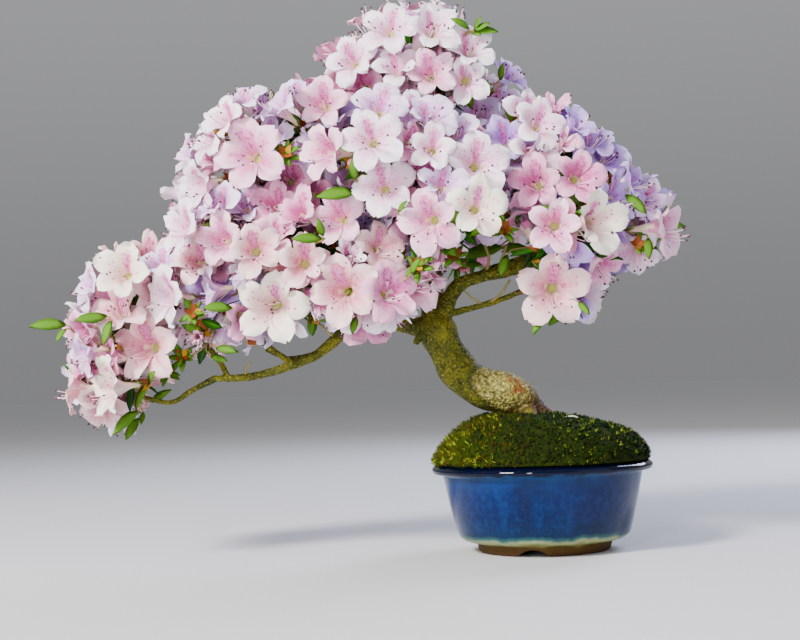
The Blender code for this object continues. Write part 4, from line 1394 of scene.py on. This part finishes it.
# Materials with their own pattern
class Nodes:
    """A material's node tree, with short calls to add and join nodes."""

    def __init__(self, name):
        self.material = bpy.data.materials.new(name)
        self.material.use_nodes = True
        self.tree = self.material.node_tree
        self.shader = self.tree.nodes["Principled BSDF"]
        self.place = self.tree.nodes.new("ShaderNodeTexCoord").outputs["Object"]

    def make(self, kind, **settings):
        """A new node with its own settings."""
        made = self.tree.nodes.new("ShaderNode" + kind)
        for name, value in settings.items():
            setattr(made, name, value)
        return made

    def feed(self, source, target):
        """Joins a socket to another, or sets it to a colour or number."""
        if isinstance(source, bpy.types.NodeSocket):
            self.tree.links.new(source, target)
        elif isinstance(source, tuple):
            target.default_value = (*linear(source), 1)
        else:
            target.default_value = source

    def fill(self, node, **sources):
        """Feeds a node's inputs by name."""
        for name, source in sources.items():
            self.feed(source, node.inputs[name.replace("_", " ")])
        return node

    def noise(self, scale, detail=4.0, stretch=(1, 1, 1), distortion=0.0):
        mapping = self.fill(self.make("Mapping"), Vector=self.place)
        mapping.inputs["Scale"].default_value = stretch
        made = self.fill(self.make("TexNoise"), Vector=mapping.outputs["Vector"], Scale=scale, Detail=detail,
                         Distortion=distortion)
        return made.outputs["Fac"]

    def cells(self, scale):
        return self.fill(self.make("TexVoronoi"), Vector=self.place, Scale=scale).outputs["Distance"]

    def ramp(self, source, stops):
        """Stops of (position, sRGB colour) or (position, grey from 0 to 1)."""
        made = self.fill(self.make("ValToRGB"), Fac=source)
        points = made.color_ramp.elements
        while len(points) < len(stops):
            points.new(1.0)
        for point, (position, colour) in zip(points, stops):
            point.position = position
            point.color = (*linear(colour), 1) if isinstance(colour, tuple) else (colour,) * 3 + (1,)
        return made.outputs["Color"]

    def mix(self, share, first, second):
        made = self.make("Mix", data_type="RGBA", blend_type="MIX")
        return self.fill(made, Factor=share, A=first, B=second).outputs["Result"]

    def math(self, operation, *sources):
        made = self.make("Math", operation=operation)
        for source, target in zip(sources, made.inputs):
            self.feed(source, target)
        return made.outputs["Value"]

    def add(self, first, second):
        return self.math("ADD", first, second)

    def times(self, first, second):
        return self.math("MULTIPLY", first, second)

    def coordinate(self, axis):
        return self.fill(self.make("SeparateXYZ"), Vector=self.place).outputs[axis]

    def span(self, source, low, high):
        """From 0 at the low value to 1 at the high one."""
        made = self.fill(self.make("MapRange"), Value=source, From_Min=low, From_Max=high)
        return made.outputs["Result"]

    def ball(self, centre, half, tilt):
        """Under 1 inside a tilted ellipsoid of the tables, 1 on its surface."""
        mapping = self.fill(self.make("Mapping", vector_type="TEXTURE"), Vector=self.place)
        mapping.inputs["Location"].default_value = place(centre)
        mapping.inputs["Rotation"].default_value = (0, math.radians(tilt), 0)
        mapping.inputs["Scale"].default_value = [value * MM for value in half]
        length = self.make("VectorMath", operation="LENGTH")
        self.feed(mapping.outputs["Vector"], length.inputs[0])
        return length.outputs["Value"]

    def bump(self, height, strength, distance):
        made = self.fill(self.make("Bump"), Height=height, Strength=strength, Distance=distance)
        self.feed(made.outputs["Normal"], self.shader.inputs["Normal"])

    def finish(self, colour, roughness, gloss):
        self.shader.inputs["Specular IOR Level"].default_value = gloss
        self.fill(self.shader, Base_Color=colour, Roughness=roughness)
        return self.material


def bark_material():
    """Pebbled green bark, with the pale, scarred skin of the lump, painted shade in the crease round it,
    and its dark foot.
    """
    nodes = Nodes("bark_relief")
    fine = nodes.noise(380, 4)
    pebbles = nodes.cells(560)
    base = nodes.ramp(nodes.noise(70, 5), ((0.3, (44, 52, 1)), (0.5, (86, 88, 3)), (0.7, (122, 114, 10))))
    grains = nodes.times(nodes.ramp(pebbles, ((0.15, 1.0), (0.45, 0.0))),
                         nodes.ramp(fine, ((0.42, 0.0), (0.62, 0.6))))
    speckled = nodes.mix(grains, base, (182, 172, 66))
    seams = nodes.times(nodes.ramp(pebbles, ((0.5, 0.0), (0.75, 1.0))),
                        nodes.ramp(nodes.noise(160, 4), ((0.4, 0.1), (0.6, 0.75))))
    seamed = nodes.mix(seams, speckled, (34, 32, 4))
    ball = nodes.ball(LUMP_SKIN_AT, LUMP_SKIN_HALF, LUMP_TILT)
    # Painted shade: a dark green ring in the crease where the lump meets the trunk
    crease_shade = nodes.ramp(nodes.span(ball, 0.8, 1.4), ((0.15, 0.0), (0.36, 0.85), (0.6, 0.0)))
    crease_shaded = nodes.mix(crease_shade, seamed, (38, 46, 6))
    wander = nodes.add(ball, nodes.times(nodes.math("SUBTRACT", fine, 0.5), 0.35))
    lump = nodes.ramp(nodes.span(wander, 0.8, 1.2), ((0.3, 0.95), (0.6, 0.0)))
    skinned = nodes.mix(lump, crease_shaded, lump_skin(nodes, fine, pebbles))
    foot = nodes.span(nodes.ball(LUMP_FOOT, LUMP_HALF, LUMP_TILT), 0.3, 1.8)
    colour = nodes.mix(nodes.ramp(foot, ((0.15, 0.85), (0.7, 0.0))), skinned, (66, 30, 8))
    nodes.bump(nodes.add(nodes.times(pebbles, -1.0), fine), 0.7, 0.0012)
    return nodes.finish(colour, nodes.ramp(fine, ((0.3, 0.55), (0.7, 0.8))), 0.25)


def lump_skin(nodes, fine, pebbles):
    """Pale skin with flecks and pits, and rusty scars on its right."""
    skin = nodes.mix(nodes.ramp(fine, ((0.38, 0.0), (0.6, 1.0))), (86, 79, 21), (148, 139, 66))
    flecks = nodes.ramp(nodes.noise(620, 3), ((0.52, 0.0), (0.68, 0.9)))
    flecked = nodes.mix(flecks, skin, (198, 188, 122))
    pits = nodes.times(nodes.ramp(pebbles, ((0.5, 0.0), (0.7, 0.8))),
                       nodes.ramp(nodes.noise(240, 3), ((0.42, 0.0), (0.58, 1.0))))
    pitted = nodes.mix(pits, flecked, (72, 56, 18))
    lower = nodes.span(nodes.coordinate("X"), place(LUMP_SKIN_AT).x, place(LUMP_CENTRE).x)
    scars = nodes.times(lower, nodes.ramp(nodes.noise(95, 6, distortion=0.8), ((0.5, 0.0), (0.57, 0.85))))
    return nodes.mix(scars, pitted, (112, 54, 12))


def glaze_material():
    """Blue glaze that runs to a pale edge over the bare brown foot, streaked, mottled and flecked."""
    nodes = Nodes("blue_glaze")
    streak = nodes.noise(110, 5, stretch=(1, 1, 0.12))
    cloud = nodes.noise(34, 5, distortion=0.5)
    drips = nodes.math("SUBTRACT", nodes.noise(90, 4, stretch=(1, 1, 0.25)), 0.5)
    height = nodes.add(nodes.coordinate("Z"), nodes.times(drips, 0.006))
    level = nodes.span(height, 0.0, POT_HEIGHT * MM)
    colour = nodes.ramp(level, (
        (0.0, (70, 44, 14)),
        (0.10, (84, 62, 20)),
        (0.125, (112, 112, 50)),
        (0.16, (150, 160, 112)),
        (0.195, (40, 84, 84)),
        (0.235, (3, 30, 62)),
        (0.45, (0, 20, 66)),
        (0.72, (1, 26, 80)),
        (0.84, (2, 44, 100)),
        (0.885, (3, 64, 112)),
        (0.905, (1, 8, 34)),
        (1.0, (1, 4, 24)),
    ))
    body = nodes.ramp(level, ((0.22, 0.0), (0.3, 1.0), (0.87, 1.0), (0.9, 0.0)))
    for pattern, stops, tone in (
        (streak, ((0.48, 0.0), (0.75, 0.3)), (8, 62, 124)),
        (nodes.noise(260, 4), ((0.45, 0.0), (0.7, 0.3)), (6, 56, 118)),
        (cloud, ((0.3, 0.7), (0.52, 0.0)), (0, 12, 44)),
        (nodes.noise(900, 2), ((0.64, 0.0), (0.76, 0.25)), (40, 96, 136)),
    ):
        colour = nodes.mix(nodes.times(body, nodes.ramp(pattern, stops)), colour, tone)
    nodes.bump(nodes.add(nodes.times(cloud, 0.8), nodes.times(streak, 0.3)), 0.25, 0.001)
    rough = nodes.ramp(level, ((0.09, 0.8), (0.14, 0.45), (0.2, 0.25), (0.27, 0.06), (1.0, 0.06)))
    return nodes.finish(colour, rough, 0.25)


def moss_bed_material():
    """Dark moss between the tufts."""
    nodes = Nodes("moss_bed")
    fine = nodes.noise(700, 3)
    colour = nodes.ramp(nodes.noise(60, 5), ((0.3, (9, 16, 1)), (0.5, (16, 30, 1)), (0.7, (34, 40, 2))))
    nodes.bump(fine, 0.8, 0.001)
    light = nodes.ramp(fine, ((0.4, 0.0), (0.65, 0.6)))
    return nodes.finish(nodes.mix(light, colour, (44, 54, 4)), 0.95, 0.1)


def soil_material():
    """Brown grains of soil."""
    nodes = Nodes("potting_soil")
    grains = nodes.cells(420)
    colour = nodes.ramp(nodes.noise(80, 5), ((0.3, (44, 32, 22)), (0.5, (74, 54, 36)), (0.7, (104, 80, 54))))
    nodes.bump(grains, 0.9, 0.0015)
    light = nodes.ramp(grains, ((0.1, 0.5), (0.35, 0.0)))
    return nodes.finish(nodes.mix(light, colour, (150, 122, 88)), 0.92, 0.2)


# Trunk and boughs
def lumpy(radii, route, scale, amount):
    """Radii along a route, made a little uneven."""
    return [radius * (1 + amount * noise.noise(Vector(point) * scale)) for radius, point in zip(radii, route)]


def limb_shapes():
    """Tubes for the trunk, its root flare and every bough, in millimetres."""
    route, radii = limb_points("trunk", 5)
    keep = route[:, 2] > BARK_FROM
    shapes = [(route[keep], lumpy(radii[keep], route[keep], 0.07, 0.16), 20)]
    heart = np.array(FLARE_HEART, float)
    for azimuth, reach, radius in FLARES:
        away = spoke(math.radians(azimuth))[0]
        knots = np.array([heart + away * 2, heart + away * reach * 0.6 - (0, 0, 5), heart + away * reach])
        knots[-1, 2] = GROUND - 5
        path = smooth_route(knots, 4)
        shapes.append((path, np.linspace(radius + 1.5, radius - 1.5, len(path)), 12))
    for name in BOUGHS:
        route, radii = limb_points(name, 6)
        shapes.append((route, lumpy(radii, route, 0.16, 0.22), 12))
    return shapes + bare_twigs(lambda radius: radius >= THIN_TWIG, 8)


def bare_twigs(wanted, sides):
    """Tubes for the bare twigs whose first radius is wanted."""
    shapes = []
    for start, bend, end, first, last in BARE_TWIGS:
        if wanted(first):
            path = smooth_route(np.array((start, bend, end), float), 4)
            shapes.append((path, np.linspace(first, last, len(path)), sides))
    return shapes


def build_thin_twigs():
    """The bare twigs too thin for the bark's skin."""
    pile = Pile()
    for shape in bare_twigs(lambda radius: radius < THIN_TWIG, 6):
        pile.add(*tube(*shape), LOOK["twig_young"])
    settle(pile.build("thin_twigs"), "bark")


def lump_points():
    """The pale lump at the trunk's foot, as a grid of points and its faces."""
    rows, columns = 16, 28
    polar = np.linspace(0.001, math.pi - 0.001, rows)[:, None]
    around = turns(columns)
    ball = np.stack((np.cos(polar) + 0 * around, np.sin(polar) * np.cos(around),
                     np.sin(polar) * np.sin(around)), -1) * LUMP_HALF
    tilt = math.radians(LUMP_TILT)
    turn = np.array(((math.cos(tilt), 0, math.sin(tilt)), (0, 1, 0), (-math.sin(tilt), 0, math.cos(tilt))))
    return (ball @ turn.T + LUMP_CENTRE).reshape(-1, 3), band_faces(rows, columns)[:, [0, 3, 2, 1]]


def build_bark():
    """One skin over all the limbs, remeshed so that they flow into each other, with pebbled relief."""
    pile = Pile()
    for shape in limb_shapes():
        pile.add(*tube(*shape), LOOK["twig"])
    pile.add(*lump_points(), LOOK["twig"])
    obj = pile.build("bark")
    remesh = obj.modifiers.new("skin", "REMESH")
    remesh.mode = "VOXEL"
    remesh.voxel_size = BARK_VOXEL * MM
    smooth = obj.modifiers.new("smooth", "SMOOTH")
    smooth.factor = 0.5
    smooth.iterations = 2
    apply_modifiers(obj)
    raise_relief(obj.data)
    paint(obj, bark_material())
    obj.data.shade_smooth()
    settle(obj, "bark", "trunk", *BOUGHS)


def raise_relief(mesh):
    """Moves the bark's points out and in along their normals."""
    count = len(mesh.vertices)
    points = np.empty(count * 3, np.float32)
    normals = np.empty(count * 3, np.float32)
    mesh.vertices.foreach_get("co", points)
    mesh.vertex_normals.foreach_get("vector", normals)
    points = points.reshape(-1, 3)
    relief = np.array([bark_relief(point) for point in (points - np.array(AXIS)) / MM])
    points += normals.reshape(-1, 3) * relief[:, None] * MM
    mesh.vertices.foreach_set("co", points.ravel())
    mesh.update()


def bark_relief(point):
    """Height of the bark's lumps, pebbles and cracks at a point of the tables, in millimetres."""
    spot = Vector(point.tolist())
    trunk_x = np.interp(spot.z, [knot[2] for knot in TRUNK], [knot[0] for knot in TRUNK])
    thick = min(1.0, max(0.3, 1.6 - math.hypot(spot.x - trunk_x, spot.y) / 14))
    pebbles = 1 - 2 * abs(noise.noise(spot * 0.42))
    lumps = noise.noise(spot * 0.1)
    grain = noise.noise(spot * 1.1)
    return thick * (0.8 * lumps + 0.38 * pebbles + 0.28 * grain)


# Pot
def pot_wall(height):
    """Outer radius of the pot's body between the foot and the groove under the rim."""
    share = np.clip((height - BASE_HEIGHT) / (GROOVE_HEIGHT - BASE_HEIGHT), 0, 1)
    return BASE_RADIUS + (RIM_RADIUS - GROOVE_INSET - BASE_RADIUS) * share**0.85


def arc(centre, radius, first, last, steps):
    """Points of (distance, height) on an arc between two angles in degrees."""
    angles = np.radians(np.linspace(first, last, steps + 1))
    return [(centre[0] + radius * math.cos(a), centre[1] + radius * math.sin(a)) for a in angles]


def pot_profile():
    """From the inside of the floor, under the foot and up the wall, over the rim and down inside."""
    inner = FOOT_RADIUS - FOOT_WIDTH
    foot = [(inner - 1.5, FOOT_HEIGHT), (inner - 0.3, 1.0), (inner + 0.7, 0), (FOOT_RADIUS - 0.7, 0),
            (FOOT_RADIUS + 0.3, 0.8), (FOOT_RADIUS + 1.1, 3.4), (FOOT_RADIUS + 1.6, 5.6),
            (FOOT_RADIUS + 2.6, 6.6)]
    shoulder = [(BASE_RADIUS - 6.5, 7.1), (BASE_RADIUS - 3.6, 8.0), (BASE_RADIUS - 1.6, 9.3),
                (BASE_RADIUS - 0.4, 10.5)]
    wall = [(pot_wall(height), height) for height in np.linspace(BASE_HEIGHT, GROOVE_HEIGHT - 1, 18)]
    groove = [(RIM_RADIUS - GROOVE_INSET, GROOVE_HEIGHT), (RIM_RADIUS - 5.8, 51.1), (RIM_RADIUS - 3.2, 51.5)]
    bead = arc((RIM_RADIUS - 2.4, 53.8), 2.4, -75, 60, 8)
    lip = [(RIM_RADIUS - 2.6, 57.0), (RIM_RADIUS - 4.4, 57.6), (RIM_RADIUS - 6.6, POT_HEIGHT),
           (RIM_RADIUS - 8.4, 57.2), (RIM_RADIUS - 9.4, 56.0)]
    inside = [(pot_wall(40) - WALL, 40), (pot_wall(16) - WALL, 16)]
    return np.array(foot + shoulder + wall + groove + bead + lip + inside)


def arch_heights(angles):
    """Height of the foot's arches over the ground, round the pot."""
    arches = np.zeros_like(angles)
    for index in range(ARCH_COUNT):
        middle = math.radians(ARCH_AZIMUTH + 360 / ARCH_COUNT * index)
        offset = (angles - middle + math.pi) % (2 * math.pi) - math.pi
        reach = FOOT_RADIUS * np.sin(np.clip(offset, -1, 1))
        arches = np.maximum(arches, np.sqrt(np.maximum(ARCH_RADIUS**2 - reach**2, 0)) - ARCH_DEPTH)
    return arches


def build_pot():
    """The pot as its profile turned about the axis, with arches in the foot and both floors closed."""
    profile = pot_profile()
    angles = turns(POT_STEPS)
    radius = profile[:, 0][:, None] + 0 * angles
    height = profile[:, 1][:, None] + 0 * angles
    low = profile[:, 1] < 4.5
    height[low] = np.maximum(height[low], arch_heights(angles) + profile[low, 1][:, None] * 0.25)
    points = np.stack((radius * np.cos(angles), radius * np.sin(angles), height), -1).reshape(-1, 3)
    pile = Pile()
    pile.add(points, band_faces(len(profile), POT_STEPS), LOOK["twig"])
    disc = fan_faces(0, 1, POT_STEPS)
    for rim, level, faces in ((points[:POT_STEPS], FOOT_HEIGHT + 0.5, disc[:, [0, 2, 1]]),
                              (points[-POT_STEPS:], INSIDE_FLOOR, disc[:, [1, 2, 0]])):
        pile.add(np.concatenate(([(0, 0, level)], rim)), faces, LOOK["twig"])
    obj = pile.build("glazed_pot")
    obj.modifiers.new("weld", "WELD").merge_threshold = 0.01 * MM
    apply_modifiers(obj)
    paint(obj, glaze_material())
    settle(obj, "glaze", "pot")


# Moss
def moss_height(x, y):
    """Height of the mound's top above the ground, with soft lumps."""
    share = np.minimum(np.hypot(x, y) / MOSS_RADIUS, 1.0)
    fullness = MOSS_FULLNESS + x / MOSS_RADIUS + MOSS_SHOULDER * np.maximum(x, 0) / MOSS_RADIUS
    slope = np.where(x > 0, MOSS_SLOPE_RIGHT, MOSS_SLOPE_LEFT)
    rise = (MOSS_RISE + slope * x) * (1 - share**fullness) ** MOSS_FALL
    lumps = 1.9 * np.sin(0.11 * x + 1.0) * np.cos(0.13 * y)
    small = 1.1 * np.sin(0.31 * x) * np.sin(0.27 * y + 2.0) + 0.6 * np.sin(0.6 * x + 0.5 * y)
    level = POT_HEIGHT + 0.3 + np.maximum(rise + lumps * (1 - share) + small * (1 - share**4), 1.6)
    return np.minimum(level, GROUND - 0.2)


def moss_normals(x, y):
    """Directions out of the mound."""
    step = 0.5
    slope_x = (moss_height(x + step, y) - moss_height(x - step, y)) / (2 * step)
    slope_y = (moss_height(x, y + step) - moss_height(x, y - step)) / (2 * step)
    return unit_rows(np.column_stack((-slope_x, -slope_y, np.ones_like(x))))


def build_moss_bed():
    """The mound under the tufts, closed below."""
    rings, spokes = 34, 120
    share = (np.arange(rings + 1) / rings) ** 0.6
    angles = turns(spokes)
    x = (MOSS_RADIUS - 0.3) * share[1:, None] * np.cos(angles)
    y = (MOSS_RADIUS - 0.3) * share[1:, None] * np.sin(angles)
    top = np.stack((x, y, moss_height(x, y)), -1).reshape(-1, 3)
    bottom = POT_HEIGHT + 0.3
    under = top[-spokes:] * (1, 1, 0) + (0, 0, bottom)
    middles = [(0, 0, float(moss_height(np.zeros(1), np.zeros(1))[0])), (0, 0, bottom)]
    points = np.concatenate((top, under, middles))
    pile = Pile()
    pile.add(points, band_faces(rings + 1, spokes)[:, [0, 3, 2, 1]], LOOK["moss_deep"])
    pile.add_faces(fan_faces(len(points) - 2, 0, spokes), LOOK["moss_deep"])
    pile.add_faces(fan_faces(len(points) - 1, rings * spokes, spokes)[:, [0, 2, 1]], LOOK["moss_deep"])
    obj = pile.build("moss_mound")
    paint(obj, moss_bed_material())
    settle(obj, "moss", "moss")


def moss_looks(rng, x, y, count):
    """Golden on the left slope, its own tint with painted light of the lit side in it, browner beside it,
    green on top, and bright specks, pale tips that are partly painted highlights, in deep green to the right.
    """
    chance = rng.random(count)
    looks = np.where(chance < 0.4, LOOK["moss_green"], LOOK["moss_deep"])
    looks = np.where(chance > 0.86, LOOK["moss_lime"], looks)
    # Bright specks of pale tips on the right, partly painted highlights
    looks = np.where((chance > 0.91) & (x > 0), LOOK["moss_tip"], looks)
    brown = np.exp(-(((x + 20) / 18) ** 2)) * (y < 0) + 0.3 * ((np.hypot(x, y) > 60) & (y < 0))
    looks = np.where(rng.random(count) < 0.45 * brown, LOOK["moss_brown"], looks)
    # Gold towards the left: the moss's own tint, with painted light of the lit side in it
    gold = np.clip((-x - 12) / 42, 0, 1) + 0.45 * np.exp(-(((x + 24) / 16) ** 2) - (y / 26) ** 2)
    golden = np.where(chance < 0.5, LOOK["moss_gold"], LOOK["moss_lime"])
    golden = np.where(chance > 0.88, LOOK["moss_tip"], golden)
    return np.where(rng.random(count) < gold * 0.9, golden, looks)


def tuft_places(rng):
    """Where the tufts stand and the way they face, with those of the bank down the mound's edge."""
    angle = rng.uniform(0, 2 * np.pi, MOSS_TUFTS)
    bank = rng.random(MOSS_TUFTS) < MOSS_BANK_SHARE
    reach = (MOSS_RADIUS - 0.6) * np.where(bank, 1 - 0.14 * rng.random(MOSS_TUFTS) ** 1.3,
                                           rng.random(MOSS_TUFTS) ** 0.46)
    x, y = reach * np.cos(angle), reach * np.sin(angle)
    drop = np.where(bank, rng.random(MOSS_TUFTS), 0) * (moss_height(x, y) - POT_HEIGHT)
    outward = np.column_stack((np.cos(angle), np.sin(angle), 0.5 + 0 * x))
    normals = np.where(bank[:, None], unit_rows(outward), moss_normals(x, y))
    centres = np.column_stack((x, y, moss_height(x, y) - 0.3 - drop))
    centres[:, :2] += (drop * 0.25 * (MOSS_RADIUS - reach) / 8)[:, None] * outward[:, :2]
    return x, y, centres, normals


def build_moss_tufts():
    """Little shoots of pointed leaves all over the mound, longest on the left, and a bare root."""
    rng = np.random.default_rng(11)
    x, y, centres, normals = tuft_places(rng)
    looks = moss_looks(rng, x, y, MOSS_TUFTS)
    long = 2.0 + 1.7 * np.clip((-x - 25) / 30, 0, 1) + 0.6 * np.clip((x - 10) / 40, 0, 1)
    pile = Pile()
    corners = flat_ring(1, 0, 3)
    spike = np.array([(0, 1, 3), (1, 2, 3), (2, 0, 3)])
    for _ in range(MOSS_LEAVES):
        lean = unit_rows(normals + rng.normal(0, 0.55, (MOSS_TUFTS, 3)) + (0, 0, 0.3))
        side = unit_rows(np.cross(lean, (0.4, 0.9, 0.1)))
        across = np.cross(lean, side)
        length = (long * rng.uniform(0.6, 1.35, MOSS_TUFTS))[:, None]
        foot = centres[:, None] + MOSS_LEAF_RADIUS * (corners[None, :, :1] * side[:, None]
                                                      + corners[None, :, 1:2] * across[:, None])
        foot = foot + (lean * 0.15 * length)[:, None]
        tip = (centres + lean * length)[:, None]
        points = np.concatenate((foot, tip), 1).reshape(-1, 3)
        faces = (spike[None] + 4 * np.arange(MOSS_TUFTS)[:, None, None]).reshape(-1, 3)
        mixed = np.where(rng.random(MOSS_TUFTS) < 0.7, looks, moss_looks(rng, x, y, MOSS_TUFTS))
        pile.add(points, faces, np.repeat(mixed, 3))
    root = np.array(BARE_ROOT, float)
    root[:, 2] += moss_height(root[:, 0], root[:, 1])
    route = smooth_route(root, 3)
    pile.add(*tube(route, np.linspace(0.7, 0.5, len(route)), 6), LOOK["root"])
    settle(pile.build("moss_tufts"), "moss", "moss")


# Camera, floor and light
def add_camera():
    """The photograph's camera."""
    camera = bpy.data.objects.new("camera", bpy.data.cameras.new("camera"))
    bpy.context.scene.collection.objects.link(camera)
    camera.data.sensor_width = SENSOR
    camera.data.lens = FOCAL_PIXELS * SENSOR / PHOTO_WIDTH
    camera.data.clip_start = 0.05
    camera.data.clip_end = 50
    right, up, forward = camera_axes()
    turn = Matrix((right, up, -forward)).transposed()
    camera.matrix_world = Matrix.Translation(place(CAMERA_AT)) @ turn.to_4x4()
    bpy.context.scene.camera = camera


def add_floor():
    """A wide plain disc, whose far edge is lost at the horizon."""
    pile = Pile()
    sides = 96
    rim = flat_ring(FLOOR_RADIUS, 0, sides)
    pile.add(np.concatenate(([(0, 0, 0)], rim)), fan_faces(0, 1, sides), LOOK["root"])
    floor = pile.build("floor")
    floor.location.z = -FLOOR_DROP * MM
    paint(floor, plain_material("floor", *FLOOR_LOOK)[0])


def add_light(name, at, width, height, power, colour):
    """A soft box that faces the plant's middle."""
    data = bpy.data.lights.new(name, "AREA")
    data.shape = "RECTANGLE"
    data.size = width
    data.size_y = height
    data.energy = power
    data.color = colour
    light = bpy.data.objects.new(name, data)
    bpy.context.scene.collection.objects.link(light)
    light.location = place(at)
    light.rotation_euler = (place(AIM) - light.location).to_track_quat("-Z", "Y").to_euler()


def add_surround():
    """A pale world, darker at the horizon and below."""
    world = bpy.data.worlds.new("studio")
    bpy.context.scene.world = world
    world.use_nodes = True
    tree = world.node_tree
    direction = tree.nodes.new("ShaderNodeTexCoord")
    parts = tree.nodes.new("ShaderNodeSeparateXYZ")
    rise = tree.nodes.new("ShaderNodeValToRGB")
    low, high = rise.color_ramp.elements
    low.color = [SURROUND_LOW * value for value in SURROUND] + [1]
    high.color = (*SURROUND, 1)
    high.position = SURROUND_FULL_AT
    rise.color_ramp.interpolation = "EASE"
    tree.links.new(direction.outputs["Generated"], parts.inputs[0])
    tree.links.new(parts.outputs["Z"], rise.inputs["Fac"])
    tree.links.new(rise.outputs["Color"], tree.nodes["Background"].inputs["Color"])
    tree.nodes["Background"].inputs["Strength"].default_value = SURROUND_STRENGTH


add_camera()
build_pot()
build_moss_bed()
build_moss_tufts()
paint(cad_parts["soil"], soil_material())
build_bark()
build_thin_twigs()
dress_masses()
add_floor()
for name, values in LIGHTS.items():
    add_light(name, *values)
add_surround()
